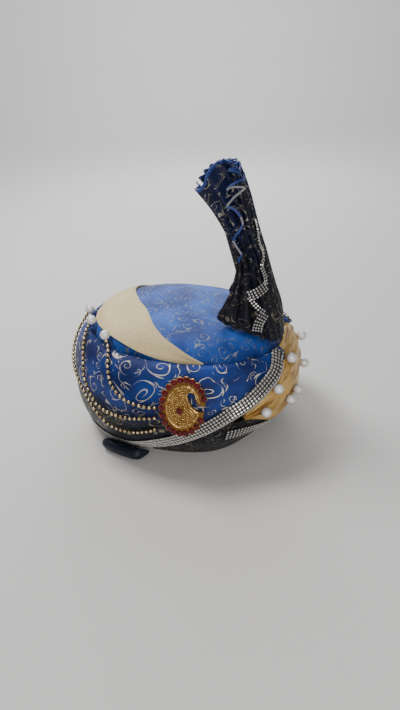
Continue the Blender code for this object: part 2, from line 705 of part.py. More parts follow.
def build_brooch():
    """A paisley brooch: a pierced gold plate with stones round its rim, one fused body."""
    plate = bmesh.new()
    turns = [2 * math.pi * i / 40 for i in range(40)]
    tilt = Matrix.Rotation(math.radians(-BROOCH_TILT), 3, "Z")
    outline = [tilt @ Vector(((BROOCH_HALF[0] + BROOCH_LIP) * math.cos(t),
                              (BROOCH_HALF[1] + BROOCH_LIP) * math.sin(t), 0)) for t in turns]
    low = [plate.verts.new(p) for p in outline]
    high = [plate.verts.new(p + Vector((0, 0, BROOCH_PLATE))) for p in outline]
    for i in range(len(turns)):
        j = (i + 1) % len(turns)
        plate.faces.new((low[i], low[j], high[j], high[i]))
    plate.faces.new(list(reversed(low)))
    plate.faces.new(high)
    mesh = bpy.data.meshes.new("paisley_brooch")
    plate.to_mesh(mesh)
    plate.free()
    brooch = new_object("paisley_brooch", mesh, BRASS, 0.3, 1.0)

    slot = bmesh.new()
    for index, (x, y) in enumerate(SLOT_PATH[:-1]):
        end = SLOT_PATH[index + 1]
        run = Vector((end[0] - x, end[1] - y, 0))
        side = Vector((-run.y, run.x, 0)).normalized() * SLOT_WIDTH / 2
        corners = [Vector((x, y, 0)) - side, Vector((x, y, 0)) + side,
                   Vector((*end, 0)) + side, Vector((*end, 0)) - side]
        ends = [Vector((0, 0, z)) for z in (-SLOT_DEPTH / 2, SLOT_DEPTH / 2)]
        rows = [[slot.verts.new(c + shift) for c in corners] for shift in ends]
        for i in range(4):
            j = (i + 1) % 4
            slot.faces.new((rows[0][j], rows[0][i], rows[1][i], rows[1][j]))
        slot.faces.new(rows[0])
        slot.faces.new(list(reversed(rows[1])))
        bmesh.ops.create_cone(slot, cap_ends=True, segments=12, radius1=SLOT_WIDTH / 2, radius2=SLOT_WIDTH / 2,
                              depth=SLOT_DEPTH, matrix=Matrix.Translation((*end, 0)))
    bmesh.ops.recalc_face_normals(slot, faces=slot.faces)
    add_tool(brooch, "slot_cutter", slot, "DIFFERENCE")

    stones = bmesh.new()
    for number in range(STONE_COUNT):
        x, y = ring_of_stones(number / (STONE_COUNT - 1))
        add_gem(stones, x, y, BROOCH_PLATE, STONE_RADIUS)
    add_gem(stones, *CENTRE_STONE, BROOCH_PLATE, STONE_RADIUS)
    bmesh.ops.recalc_face_normals(stones, faces=stones.faces)
    add_tool(brooch, "stone_set", stones, "UNION")

    normal = outward(wrap_point, *BROOCH_SPOT)
    up = Vector((0, 0, 1))
    x_axis = up.cross(normal).normalized()
    if x_axis.y > 0:
        x_axis = -x_axis
    y_axis = normal.cross(x_axis)
    frame = Matrix((x_axis, y_axis, normal)).transposed().to_4x4()
    frame.translation = wrap_point(*BROOCH_SPOT) + normal * SEAT
    for obj in [brooch] + list(bpy.data.collections["cutters"].objects):
        obj.matrix_world = frame
    return brooch


def add_tool(target, name, bm, operation):
    """A hidden mesh that cuts or joins the target."""
    mesh = bpy.data.meshes.new(name)
    bm.to_mesh(mesh)
    bm.free()
    tool = bpy.data.objects.new(name, mesh)
    tool.hide_render = True
    tool.display_type = "WIRE"
    bpy.data.collections["cutters"].objects.link(tool)
    boolean = target.modifiers.new(name, "BOOLEAN")
    boolean.operation = operation
    boolean.solver = "EXACT"
    boolean.use_self = True
    boolean.object = tool


def build_roll(tree):
    """The cloth's end, rolled up and tucked under the wrap's overhang."""
    rings = []
    for share in spread(0.0, 1.0, 12):
        angle = ROLL_ANGLES[0] + (ROLL_ANGLES[1] - ROLL_ANGLES[0]) * share
        swell = math.sqrt(max(ROLL_END_SHARE, 1.0 - (2.0 * share - 1.0) ** ROLL_FULLNESS))
        radius = ROLL_RADIUS * swell
        foot = wrap_point(angle, ROLL_FOOT_UP)
        away = Vector((foot.x, foot.y, 0)).normalized()
        base = Vector((foot.x, foot.y, 0)) + away * ROLL_OUT
        centre = seat(tree, base + Vector((0, 0, ROLL_RADIUS)), away, ROLL_RADIUS + GAP)
        ring = []
        for i in range(12):
            turn = 2 * math.pi * i / 12
            ring.append(centre + away * radius * math.cos(turn) + Vector((0, 0, radius * math.sin(turn))))
        rings.append(ring)
    return new_object("tail_roll", loft("tail_roll", rings), NAVY)


def main():
    clear_scene()
    cap = build_inner_cap()
    wrap = build_wrap()
    edge = build_edge_ribbon()
    band = build_band()
    build_band_ribbon()
    drape = build_drape()
    sash = build_sash()
    floor = skin_tree(cap, wrap, drape, edge)
    build_plume(floor)
    pearls = build_chain_pearls(skin_tree(cap, wrap, sash))
    build_drape_pearls(skin_tree(wrap, drape, edge))
    for strand, pearl in pearls.items():
        build_chain(strand, pearl)
    build_brooch()
    build_roll(skin_tree(wrap, edge, band))


main()
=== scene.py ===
# %% [markdown]
# A groom's ready-tied wedding cap, of the kind worn in South Asia. A stiff cap carries a
# padded brocade wrap, which leaves a V open over the forehead. Gold silk fills the V,
# a cream sash lies over the crown, and a pleated fan stands at the front. Pearls,
# strings of brass beads and a paisley brooch are sewn on. The solids of the pieces are
# loaded first. Each cell then makes one piece or one finish over them.

# %% Load the solids and measure their box
import bisect
import math
import random

import bmesh
import bpy
from mathutils import Matrix, Vector
from mathutils import noise
from mathutils.bvhtree import BVHTree


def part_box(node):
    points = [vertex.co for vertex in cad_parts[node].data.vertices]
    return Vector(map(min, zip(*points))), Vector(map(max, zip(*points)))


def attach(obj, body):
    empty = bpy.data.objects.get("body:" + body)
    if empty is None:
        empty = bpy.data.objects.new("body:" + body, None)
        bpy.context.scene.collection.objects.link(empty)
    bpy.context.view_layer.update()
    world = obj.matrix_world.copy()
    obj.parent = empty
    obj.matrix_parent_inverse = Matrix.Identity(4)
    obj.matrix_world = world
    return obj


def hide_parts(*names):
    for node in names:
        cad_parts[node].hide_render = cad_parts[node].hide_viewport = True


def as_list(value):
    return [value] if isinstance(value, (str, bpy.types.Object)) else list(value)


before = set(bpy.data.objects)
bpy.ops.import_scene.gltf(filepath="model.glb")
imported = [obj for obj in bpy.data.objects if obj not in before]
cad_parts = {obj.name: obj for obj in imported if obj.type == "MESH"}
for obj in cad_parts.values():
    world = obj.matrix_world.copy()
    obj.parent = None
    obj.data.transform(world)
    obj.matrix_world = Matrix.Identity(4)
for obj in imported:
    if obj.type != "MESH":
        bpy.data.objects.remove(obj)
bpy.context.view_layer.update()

# %% [markdown]
# The whole cap follows one idea: ovals, stacked from the rim upwards, whose sizes change
# along a smooth curve. A place on the cap is an angle round the head, in degrees from
# the middle of the forehead towards the wearer's right, and a height on a table of
# ovals. Every cloth, ribbon and bead is placed with these two numbers, so the pieces
# meet wherever one of them ends.

# %% Tables of ovals: height, half the length, half the width, how far back the middle lies
SHIFT_RIGHT, SHIFT_FORWARD = -0.0044, 0.0031
SQUARENESS = 2.2
BACK_RISE = 0.012
SEAT = 0.0006
CAP_WALL = 0.0025

CAP_ROWS = [
    (0.0010, 0.1030, 0.0820, 0.0080),
    (0.0350, 0.1042, 0.0832, 0.0070),
    (0.0750, 0.1072, 0.0856, 0.0052),
    (0.1150, 0.1110, 0.0895, 0.0040),
]
CROWN_ROWS = [
    (0.1150, 0.1110, 0.0895, 0.0040),
    (0.1240, 0.1060, 0.0855, 0.0040),
    (0.1320, 0.0930, 0.0750, 0.0040),
    (0.1370, 0.0700, 0.0565, 0.0040),
    (0.1400, 0.0400, 0.0320, 0.0040),
    (0.1410, 0.0120, 0.0095, 0.0040),
]
WRAP_ROWS = [
    (0.0000, 0.1115, 0.0880, 0.0140),
    (0.0090, 0.1215, 0.0980, 0.0132),
    (0.0300, 0.1330, 0.1115, 0.0098),
    (0.0590, 0.1385, 0.1190, 0.0060),
    (0.0870, 0.1365, 0.1170, 0.0045),
    (0.1060, 0.1295, 0.1085, 0.0040),
    (0.1160, 0.1215, 0.0995, 0.0040),
    (0.1195, 0.1155, 0.0935, 0.0040),
]


def spline(rows, position):
    """One row between the rows of a table, on a smooth curve; position runs 0 to 1."""
    last = len(rows) - 1
    along = min(max(position, 0.0), 1.0) * last
    start = min(int(along), last - 1)
    t = along - start
    p1, p2 = rows[start], rows[start + 1]
    p0 = rows[start - 1] if start > 0 else [2 * a - b for a, b in zip(p1, p2)]
    p3 = rows[start + 2] if start + 2 <= last else [2 * b - a for a, b in zip(p1, p2)]
    return tuple(
        0.5 * (2 * b + (c - a) * t + (2 * a - 5 * b + 4 * c - d) * t * t + (3 * b - a - 3 * c + d) * t ** 3)
        for a, b, c, d in zip(p0, p1, p2, p3))


def smooth_step(value):
    t = min(max(value, 0.0), 1.0)
    return t * t * (3.0 - 2.0 * t)


def spread(start, end, steps):
    return [start + (end - start) * i / steps for i in range(steps + 1)]


def place(forward, right, up):
    """Turn distances towards the forehead, the wearer's right and up into a point."""
    return Vector((-right - SHIFT_RIGHT, -forward - SHIFT_FORWARD, up))


def oval(angle, height, half_length, half_width, centre_back):
    """The point at an angle on one oval of the cap, whose top slopes up to the back."""
    c, s = math.cos(math.radians(angle)), math.sin(math.radians(angle))
    power = 2.0 / SQUARENESS
    forward = math.copysign(abs(c) ** power, c) * half_length - centre_back
    right = math.copysign(abs(s) ** power, s) * half_width
    behind = 0.5 * (1.0 - forward / CAP_ROWS[-1][1])
    return place(forward, right, height * (1.0 + behind * BACK_RISE / CAP_ROWS[-1][0]))


def wrap_point(angle, up, inset=0.0):
    """A point on the wrap; up runs from 0, bottom edge, to 1, top edge."""
    height, half_length, half_width, back = spline(WRAP_ROWS, up)
    return oval(angle, height, half_length - inset, half_width - inset, back)


def crown_point(angle, inward):
    """A point on the crown; inward runs from 0, at its edge, to 1, close to the middle."""
    return oval(angle, *spline(CROWN_ROWS, inward))


print("widest oval:", round(2000 * max(row[1] for row in WRAP_ROWS)), "mm long")

# %% Walking over a surface
def slopes(surface, angle, up):
    """How a surface point moves with each of its two numbers."""
    by_angle = (surface(angle + 0.2, up) - surface(angle - 0.2, up)) / 0.4
    high = min(up + 0.004, 1.0)
    return by_angle, (surface(angle, high) - surface(angle, up - 0.004)) / (high - up + 0.004)


def outward(surface, angle, up):
    by_angle, by_up = slopes(surface, angle, up)
    normal = by_angle.cross(by_up).normalized()
    return normal if normal.dot(surface(angle, up) - Vector((0, 0, 0.05))) > 0 else -normal


def step_beside(surface, angle, up, direction, distance):
    """Walk a distance over a surface along a direction, and give the angle and height there."""
    by_angle, by_up = slopes(surface, angle, up)
    aa, bb, ab = by_angle.dot(by_angle), by_up.dot(by_up), by_angle.dot(by_up)
    da, db = by_angle.dot(direction), by_up.dot(direction)
    whole = aa * bb - ab * ab
    return (angle + distance * (da * bb - db * ab) / whole,
            up + distance * (db * aa - da * ab) / whole)


def cap_side_point(angle, height, outside):
    """A point of a given height beside the stiff cap's wall, a little outside it."""
    low, high = 0.0, 1.0
    for _ in range(20):
        middle = 0.5 * (low + high)
        if oval(angle, *spline(CAP_ROWS, middle)).z < height:
            low = middle
        else:
            high = middle
    level, half_length, half_width, back = spline(CAP_ROWS, 0.5 * (low + high))
    point = oval(angle, level, half_length + outside, half_width + outside, back)
    point.z = height
    return point


north = outward(wrap_point, 90, 0.5)
print("the wrap faces", [round(v, 2) for v in north], "beside the right ear")

# %% [markdown]
# Woven cloth needs a pattern that follows the cloth, not the room. So every cloth here
# gets a UV map whose numbers are metres measured along the weave, and the finishes read
# that map. A scroll is then as large on the finished cap as it was on the loom.

# %% A cloth from rows of points, with its weave measured in metres
def new_piece(name, mesh, *finishes):
    """An object for a mesh, with its finishes, riding on the cap."""
    for finish in finishes:
        mesh.materials.append(finish)
    piece = bpy.data.objects.new(name, mesh)
    bpy.context.scene.collection.objects.link(piece)
    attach(piece, "root")
    return piece


def running_lengths(points):
    lengths = [0.0]
    for start, end in zip(points, points[1:]):
        lengths.append(lengths[-1] + (end - start).length)
    return lengths


def cloth_mesh(name, rows, closed=False, loop=False, weave=None, second=None):
    """Quads between rows of points. closed joins each row's end to its start, loop joins
    the last row to the first. weave gives (u, v) for a row and a column, and second says
    which of them take the second finish."""
    bm = bmesh.new()
    grid = [[bm.verts.new(p) for p in row] for row in rows]
    uv = bm.loops.layers.uv.new("weave")
    count, total = len(rows[0]), len(rows)
    if weave is None:
        middle = running_lengths([row[count // 2] for row in rows])
        across = running_lengths(rows[total // 2])
        weave = lambda i, j: (middle[i], across[j])
    for i in range(total if loop else total - 1):
        for j in range(count if closed else count - 1):
            corners = [(i, j), (i, j + 1), (i + 1, j + 1), (i + 1, j)]
            face = bm.faces.new([grid[a % total][b % count] for a, b in corners])
            face.smooth = True
            face.material_index = 1 if second and second(i, j) else 0
            for corner, (a, b) in zip(face.loops, corners):
                corner[uv].uv = weave(min(a, total - 1), min(b, count - 1))
    if closed and not loop:
        for i in (0, total - 1):
            face = bm.faces.new(grid[i][::-1] if i else grid[i])
            face.smooth = True
            for corner, j in zip(face.loops, range(count - 1, -1, -1) if i else range(count)):
                corner[uv].uv = weave(i, j)
    bmesh.ops.recalc_face_normals(bm, faces=bm.faces)
    mesh = bpy.data.meshes.new(name)
    bm.to_mesh(mesh)
    bm.free()
    mesh.set_sharp_from_angle(angle=math.radians(55))
    return mesh


print("cloth helpers ready")

# %% [markdown]
# Brocade is a satin ground with a figure woven in a second, brighter thread. The figure
# here is a traditional field of scrolls: tendrils that end in curls, with small leaves.
# It could be painted, but a rule gives the same field at any size. The cloth is divided
# into cells. In each cell the angle round the middle and the distance from it make a
# spiral, and a random number turns and mirrors it.

# %% Small helpers for building finishes
class Value:
    """A number, colour or vector in a finish. Sums and products of values add nodes."""

    def __init__(self, socket):
        self.socket = socket

    def __add__(self, other):
        return calc("ADD", self, other)

    def __sub__(self, other):
        return calc("SUBTRACT", self, other)

    def __mul__(self, other):
        return calc("MULTIPLY", self, other)

    def __truediv__(self, other):
        return calc("DIVIDE", self, other)


def new_finish(name, colour, rough, metal=0.0):
    finish = bpy.data.materials.new(name)
    finish.use_nodes = True
    shader = finish.node_tree.nodes["Principled BSDF"]
    put(shader.inputs["Base Color"], colour)
    put(shader.inputs["Roughness"], rough)
    put(shader.inputs["Metallic"], metal)
    return finish, shader


def new_node(beside, kind):
    """A node in the same finish as a value or another node."""
    owner = beside.socket if isinstance(beside, Value) else beside
    return owner.id_data.nodes.new(kind)


def put(socket, value):
    if isinstance(value, Value):
        socket.id_data.links.new(value.socket, socket)
    elif isinstance(value, tuple) and len(value) == 3 and len(socket.default_value) == 4:
        socket.default_value = (*value, 1.0)
    else:
        socket.default_value = value


def calc(operation, *values, kind="ShaderNodeMath"):
    node = new_node(values[0], kind)
    node.operation = operation
    for socket, value in zip(node.inputs, values):
        put(socket, value)
    return Value(node.outputs[0])


def vector_calc(operation, *values):
    return calc(operation, *values, kind="ShaderNodeVectorMath")


def ramp(value, low, high, from_value=0.0, to_value=1.0):
    """A soft step between two values."""
    node = new_node(value, "ShaderNodeMapRange")
    node.interpolation_type = "SMOOTHSTEP"
    for key, number in (("From Min", low), ("From Max", high), ("To Min", from_value), ("To Max", to_value)):
        put(node.inputs[key], number)
    put(node.inputs["Value"], value)
    return Value(node.outputs[0])


def blend_colours(share, first, second):
    node = new_node(share, "ShaderNodeMix")
    node.data_type = "RGBA"
    put(node.inputs["Factor"], share)
    put(node.inputs[6], first)
    put(node.inputs[7], second)
    return Value(node.outputs[2])


def colour_by(shader, share, first, second):
    """Colour a finish from the first colour, where the share is 0, to the second."""
    put(shader.inputs["Base Color"], blend_colours(share, first, second))


def weave_place(shader):
    """The place on the cloth, in metres along the weave."""
    node = new_node(shader, "ShaderNodeUVMap")
    node.uv_map = "weave"
    return Value(node.outputs[0])


def solid_place(shader):
    """The place in the piece's own space, for what has no weave."""
    return Value(new_node(shader, "ShaderNodeTexCoord").outputs["Object"])


def split(vector):
    """The x, y and z of a vector."""
    node = new_node(vector, "ShaderNodeSeparateXYZ")
    put(node.inputs[0], vector)
    return [Value(socket) for socket in node.outputs]


def mottle(where, size, detail=2.0, output="Fac"):
    """Soft irregular patches of about this size, from 0 to 1."""
    node = new_node(where, "ShaderNodeTexNoise")
    put(node.inputs["Vector"], where)
    put(node.inputs["Scale"], 1.0 / size)
    put(node.inputs["Detail"], detail)
    return Value(node.outputs[output])


def sine(value, rate):
    return calc("SINE", value * rate)


def thread_grid(where, rate):
    """Small bumps where the threads of both directions cross."""
    x, y, _ = split(where)
    return sine(x, rate) * sine(y, rate)


def raise_by(shader, height, depth):
    node = new_node(shader, "ShaderNodeBump")
    put(node.inputs["Height"], height)
    put(node.inputs["Distance"], depth)
    put(shader.inputs["Normal"], Value(node.outputs[0]))


print("finish helpers ready")

# %% The scroll figure
FULL_TURN, NATURAL_BASE = 6.283, 2.718
TURN_GROWTH = 1.28              # the logarithm of 3.6: each turn lies so many times further out


def spiral_layer(where, cell, seed, drift):
    """One scroll in each cell, and how far a place lies from its cell's middle."""
    in_cells = vector_calc("MULTIPLY", where, (1 / cell, 1 / cell, 1 / cell))
    wander = vector_calc("SUBTRACT", mottle(in_cells, 1.4, 1.0, "Color"), (0.5, 0.5, 0.5))
    wander = vector_calc("MULTIPLY", wander, (drift, drift, 0.0))
    x, y, _ = split(vector_calc("ADD", in_cells, wander))
    row = calc("FLOOR", y)
    x = x + calc("FLOORED_MODULO", row, 2.0) * 0.5
    column = calc("FLOOR", x)
    # every cell throws its own dice: how its scroll is turned, mirrored and sized
    cell_number = new_node(x, "ShaderNodeCombineXYZ")
    for socket, value in zip(cell_number.inputs, (column, row, seed)):
        put(socket, value)
    dice = new_node(x, "ShaderNodeTexWhiteNoise")
    dice.noise_dimensions = "3D"
    put(dice.inputs["Vector"], Value(cell_number.outputs[0]))
    turn_dice, flip_dice, _ = split(Value(dice.outputs["Color"]))
    size = ramp(Value(dice.outputs["Value"]), 0.0, 1.0, 1.30, 1.0)
    beside = (x - column - 0.5) * size * (calc("GREATER_THAN", flip_dice, 0.5) * 2.0 - 1.0)
    above = (y - row - 0.5) * size
    angle = calc("ARCTAN2", above, beside) + turn_dice * FULL_TURN
    reach = calc("SQRT", beside * beside + above * above)
    # arm is 0 on the tendril's middle line
    turns = calc("LOGARITHM", calc("MAXIMUM", reach, 0.01), NATURAL_BASE) / TURN_GROWTH
    arm = calc("FRACT", turns - angle / FULL_TURN) - 0.5
    # the tendril tapers outwards, ends in a bulb, and has leaves on its outer side
    width = ramp(reach, 0.47, 0.30, 0.004, 0.048) + ramp(reach, 0.16, 0.09, 0.0, 0.10)
    leaf = ramp(calc("SINE", angle * 3.0 + arm * 10.0), 0.66, 0.98) * ramp(reach, 0.20, 0.30)
    line = ramp(arm - (width + leaf * 0.20), 0.012, -0.012) * ramp(arm + width, -0.012, 0.012)
    line = line * ramp(reach, 0.065, 0.085) * ramp(reach, 0.49, 0.455)
    return line * calc("GREATER_THAN", turn_dice, 0.08), reach


def scroll_figure(where, cell, seed):
    """1 on the bright thread and 0 on the ground: large scrolls, with small ones and stems between them."""
    large, reach = spiral_layer(where, cell, seed, 0.75)
    small, _ = spiral_layer(where, cell * 0.5, seed + 10.0, 0.9)
    stem = ramp(calc("ABSOLUTE", mottle(where, cell * 0.75, 1.0) - 0.5), 0.013, 0.006)
    return calc("MAXIMUM", large, calc("MAXIMUM", small, stem) * ramp(reach, 0.47, 0.53))


def brocade(name, high, low, cell, seed, metal, rough, tone_and_shade_fade=(-1.0, 0.0)):
    """Satin ground and scrolls. high and low each give (ground, shadowed ground, thread),
    for the cloth above the second height of fade and for that below the first; the darker
    lower cloth is partly its own colour and partly painted shade from the light above."""
    finish, shader = new_finish(name, high[0], rough)
    where = weave_place(shader)
    scroll = scroll_figure(where, cell, seed)
    patches = mottle(where, 0.04)
    # upper runs from 0 low on the cloth to 1 high up: the darker colours lower down are partly the cloth's
    # own and partly painted shade from the light above
    upper = ramp(split(solid_place(shader))[2] + (patches - 0.5) * 0.03, *tone_and_shade_fade)
    ground, shadowed, thread = (blend_colours(upper, a, b) for a, b in zip(low, high))
    ground = blend_colours(ramp(patches, 0.35, 0.7), shadowed, ground)
    worn = ramp(mottle(where, 0.007), 0.30, 0.55, 0.45, 1.0)
    colour_by(shader, scroll * worn, ground, thread)
    put(shader.inputs["Metallic"], ramp(scroll, 0.0, 1.0, metal, 0.55))
    put(shader.inputs["Roughness"], ramp(scroll, 0.0, 1.0, rough, 0.40))
    raise_by(shader, scroll + thread_grid(where, 9000.0) * 0.12, 0.0004)
    shader.inputs["Specular IOR Level"].default_value = 0.3
    shader.inputs["Sheen Weight"].default_value = 0.04
    shader.inputs["Sheen Roughness"].default_value = 0.4
    return finish


# The wrap and the fan take darker colours lower down: partly the cloths' own colour, partly painted shade
# from the light above. The crown's colours do not change with height.
royal_brocade = brocade(
    "royal_brocade", ((0.009, 0.044, 0.26), (0.003, 0.013, 0.095), (0.62, 0.58, 0.50)),
    ((0.003, 0.005, 0.020), (0.002, 0.003, 0.010), (0.27, 0.245, 0.20)),
    cell=0.029, seed=1.0, metal=0.25, rough=0.42, tone_and_shade_fade=(0.058, 0.098))
crown_brocade = brocade(
    "crown_brocade", ((0.016, 0.098, 0.44), (0.004, 0.028, 0.18), (0.17, 0.19, 0.23)),
    ((0.016, 0.098, 0.44), (0.004, 0.028, 0.18), (0.17, 0.19, 0.23)),
    cell=0.024, seed=2.0, metal=0.25, rough=0.50)
fan_brocade = brocade(
    "fan_brocade", ((0.003, 0.008, 0.050), (0.002, 0.003, 0.014), (0.38, 0.36, 0.30)),
    ((0.002, 0.003, 0.014), (0.0015, 0.002, 0.006), (0.19, 0.165, 0.115)),
    cell=0.022, seed=3.0, metal=0.12, rough=0.48, tone_and_shade_fade=(0.18, 0.25))
print("brocades:", royal_brocade.name, crown_brocade.name, fan_brocade.name)

# %% [markdown]
# The crown is the stiff cap's top, covered with the small-figured brocade. The stiff cap
# is one shell with a true hollow for the head, so its inside is seen too: it is lined
# with plain cotton. Both skins are lofted from the same ovals, the inner one a wall's
# thickness further in, and the two meet round the rim.

# %% Cotton lining
cotton_lining, shader = new_finish("cotton_lining", (0.42, 0.36, 0.27), 0.9)
where = weave_place(shader)
x, y, _ = split(where)
raise_by(shader, sine(x, 5000.0) + sine(y, 5000.0), 0.00015)
colour_by(shader, mottle(where, 0.02, 4.0), (0.36, 0.30, 0.22), (0.50, 0.44, 0.34))
print("lining:", cotton_lining.name)

# %% Stiff cap and its crown
FRONT_ARCH, ARCH_ANGLES = 0.020, (18.0, 70.0)


def arch(angle):
    """How far the rim stands up over the forehead."""
    inner, outer = ARCH_ANGLES
    return FRONT_ARCH * smooth_step((outer - abs(angle)) / (outer - inner))


def cap_column(angle, inset):
    """From the rim up the wall and over the crown, at one angle."""
    signed = angle if angle <= 180 else angle - 360
    column = []
    for share in spread(0.0, 1.0, 14):
        height, half_length, half_width, back = spline(CAP_ROWS, share)
        point = oval(angle, height, half_length - inset, half_width - inset, back)
        point.z += arch(signed) * max(0.0, 1.0 - share * 1.5)
        column.append(point)
    for share in spread(0.0, 1.0, 26)[1:]:
        height, half_length, half_width, back = spline(CROWN_ROWS, share)
        below = inset * min(1.0, share * 3)
        point = oval(angle, height - below, half_length - inset, half_width - inset, back)
        point.z += 0.0006 * noise.noise(point * 22.0) * (inset == 0.0)
        column.append(point)
    return column


columns = spread(0, 360, 120)[:-1]
outer_columns = [cap_column(a, 0.0) for a in columns]
inner_columns = [cap_column(a, CAP_WALL)[::-1] for a in columns]
rows = [inner + outer for inner, outer in zip(inner_columns, outer_columns)]
inside = len(inner_columns[0])
crown_middle = sum((column[-1] for column in outer_columns), Vector()) / len(outer_columns)


def crown_weave(column):
    """The place on the cloth for each point: how far from the crown's middle, and which way."""
    start = column[-1].xy - crown_middle.xy
    lengths = running_lengths(column[::-1])[::-1]
    return [start.normalized() * (start.length + v) for v in lengths]


weave_rows = [[*crown_weave(inner[::-1])[::-1], *crown_weave(outer)]
              for inner, outer in zip(inner_columns, outer_columns)]
mesh = cloth_mesh("crown", rows, loop=True, weave=lambda i, j: weave_rows[i % len(rows)][j],
                  second=lambda i, j: j < inside)
bm = bmesh.new()
bm.from_mesh(mesh)
for face in bmesh.ops.holes_fill(bm, edges=[e for e in bm.edges if e.is_boundary], sides=0)["faces"]:
    face.material_index = 1 if face.calc_center_median().z < outer_columns[0][-1].z - 0.001 else 0
    face.smooth = True
    for corner in face.loops:
        corner[bm.loops.layers.uv["weave"]].uv = corner.vert.co.xy - crown_middle.xy
bmesh.ops.recalc_face_normals(bm, faces=bm.faces)
bm.to_mesh(mesh)
bm.free()
crown = new_piece("crown", mesh, crown_brocade, cotton_lining)
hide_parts("inner_cap")
print("crown:", len(crown.data.polygons), "faces")

# %% [markdown]
# The wrap is many layers of brocade wound over padding. Only its outer layer is seen, so
# it is made as one full, soft roll, with slow unevenness where the padding gives. Its
# lower edge follows the line of the ribbon, which climbs from the back of the head to
# the top of the V over the forehead, the same on both sides.

# %% The line of the ribbon
EDGE_ROWS = [
    # angle, height on the wrap
    (21.0, 1.00), (27.0, 0.86), (33.5, 0.73), (43.5, 0.64), (52.5, 0.57), (62.5, 0.51), (72.5, 0.44),
    (80.5, 0.38), (88.5, 0.32), (98.0, 0.25), (108.0, 0.19), (120.0, 0.16), (140.0, 0.15), (160.0, 0.15),
    (180.0, 0.15),
]
RIBBON_WIDTH = 0.0150
EDGE_BELOW = RIBBON_WIDTH / 2 + 0.0012
REST_ANGLES = (99.0, 117.0)
WRAP_END = 0.93


def edge_place(along, below):
    """Angle and height beside the ribbon's middle line, below it by a distance. along
    runs from -1, at the front on the wearer's left, over the back to 1 on the right."""
    on_rows = 1.0 - abs(along)
    angle, up = spline(EDGE_ROWS, on_rows)
    run = wrap_point(*spline(EDGE_ROWS, on_rows + 0.01)) - wrap_point(*spline(EDGE_ROWS, on_rows - 0.01))
    across = run.normalized().cross(outward(wrap_point, angle, up))
    if across.z > 0:
        across = -across
    angle, up = step_beside(wrap_point, angle, up, across, below)
    return math.copysign(angle, along), up


def above_rest(angle, up):
    """Bring the lower edge down to its flat rest at the back."""
    start, end = REST_ANGLES
    return max(up, 0.0) * smooth_step((end - abs(angle)) / (end - start))


def edge_height(angle):
    """How high up the wrap its lower edge lies at an angle."""
    low, high = 0.0, 1.0
    for _ in range(20):
        middle = 0.5 * (low + high)
        if edge_place(middle, EDGE_BELOW)[0] > abs(angle):
            low = middle
        else:
            high = middle
    return above_rest(angle, edge_place(high, EDGE_BELOW)[1])


print("edge beside the ear at", round(wrap_point(90, edge_height(90)).z * 1000), "mm")

# %% Brocade wrap
def soft_wrap_point(angle, up):
    """The wrap's skin with the slow swell of its padding."""
    point = wrap_point(angle, up)
    swell = noise.noise(Vector((point.x * 16, point.y * 16, point.z * 30)))
    tucks = math.sin(up * 15.0 + math.radians(angle) * 1.5) * smooth_step((up - 0.3) / 0.3)
    raised = (0.0008 * swell + 0.0004 * tucks) * smooth_step((1 - up) / 0.06)
    return point + outward(wrap_point, angle, up) * raised


rows, weave_rows = [], []
for along in spread(-1.0, 1.0, 220):
    angle, low = edge_place(along, EDGE_BELOW)
    if low >= WRAP_END:
        continue
    low = above_rest(angle, low)
    outer = [soft_wrap_point(angle, up) for up in spread(low, 1.0, 30)]
    top = cap_side_point(angle, oval(angle, *CAP_ROWS[-1]).z, SEAT).z
    inner = [cap_side_point(angle, z, SEAT) for z in spread(top, outer[0].z, 3)]
    rows.append(outer + inner)
    weave_rows.append([(math.radians(angle % 360) * 0.118, v) for v in running_lengths(outer + inner)])
    offset = wrap_point(angle, low).z
    weave_rows[-1] = [(u, v + offset) for u, v in weave_rows[-1]]
wrap = new_piece("brocade_wrap", cloth_mesh("brocade_wrap", rows, closed=True,
                                            weave=lambda i, j: weave_rows[i][j]), royal_brocade)
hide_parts("side_wrap")
print("wrap:", len(wrap.data.polygons), "faces")

# %% [markdown]
# The forehead band is dark brocade, cut from a lighter weight and laid round the cap
# below the silk. It ends behind the ears, under the wrap's edge. The rim of the cap
# arches over the forehead, so the band's lower points are lifted by the same arch.

# %% Forehead band
FRONT_TUCK, TUCK_SPAN, TUCK_UPS = 0.0070, (28.0, 80.0), (0.28, 0.38, 0.70)
BAND_ANGLE, BAND_TOP_BELOW_HEM, BAND_INSET, BAND_INSET_FULL, BAND_CLEAR = 97.0, 0.01, 0.0040, 0.2, 0.008
DRAPE_HEM, DRAPE_HEM_FRONT, DRAPE_HEM_SPAN = 0.43, 0.34, (28.0, 53.0)


def front_tuck(angle, up):
    """How much further in the cloth below the wrap's front edge lies."""
    full, gone = TUCK_SPAN
    low, high, top = TUCK_UPS
    beside = smooth_step((gone - abs(angle)) / (gone - full))
    return FRONT_TUCK * beside * smooth_step(up / low) * smooth_step((top - up) / (top - high))


def drape_hem(angle):
    """Height of the silk's hem, lower over the forehead than at its corners."""
    start, end = DRAPE_HEM_SPAN
    return DRAPE_HEM_FRONT + (DRAPE_HEM - DRAPE_HEM_FRONT) * smooth_step((abs(angle) - start) / (end - start))


def band_point(angle, up):
    """The band's outside, whose foot follows the arched rim."""
    point = wrap_point(angle, up, BAND_INSET * smooth_step(up / BAND_INSET_FULL) + front_tuck(angle, up))
    point.z += arch(angle) * max(0.0, 1.0 - up / (drape_hem(angle) - BAND_TOP_BELOW_HEM))
    return point


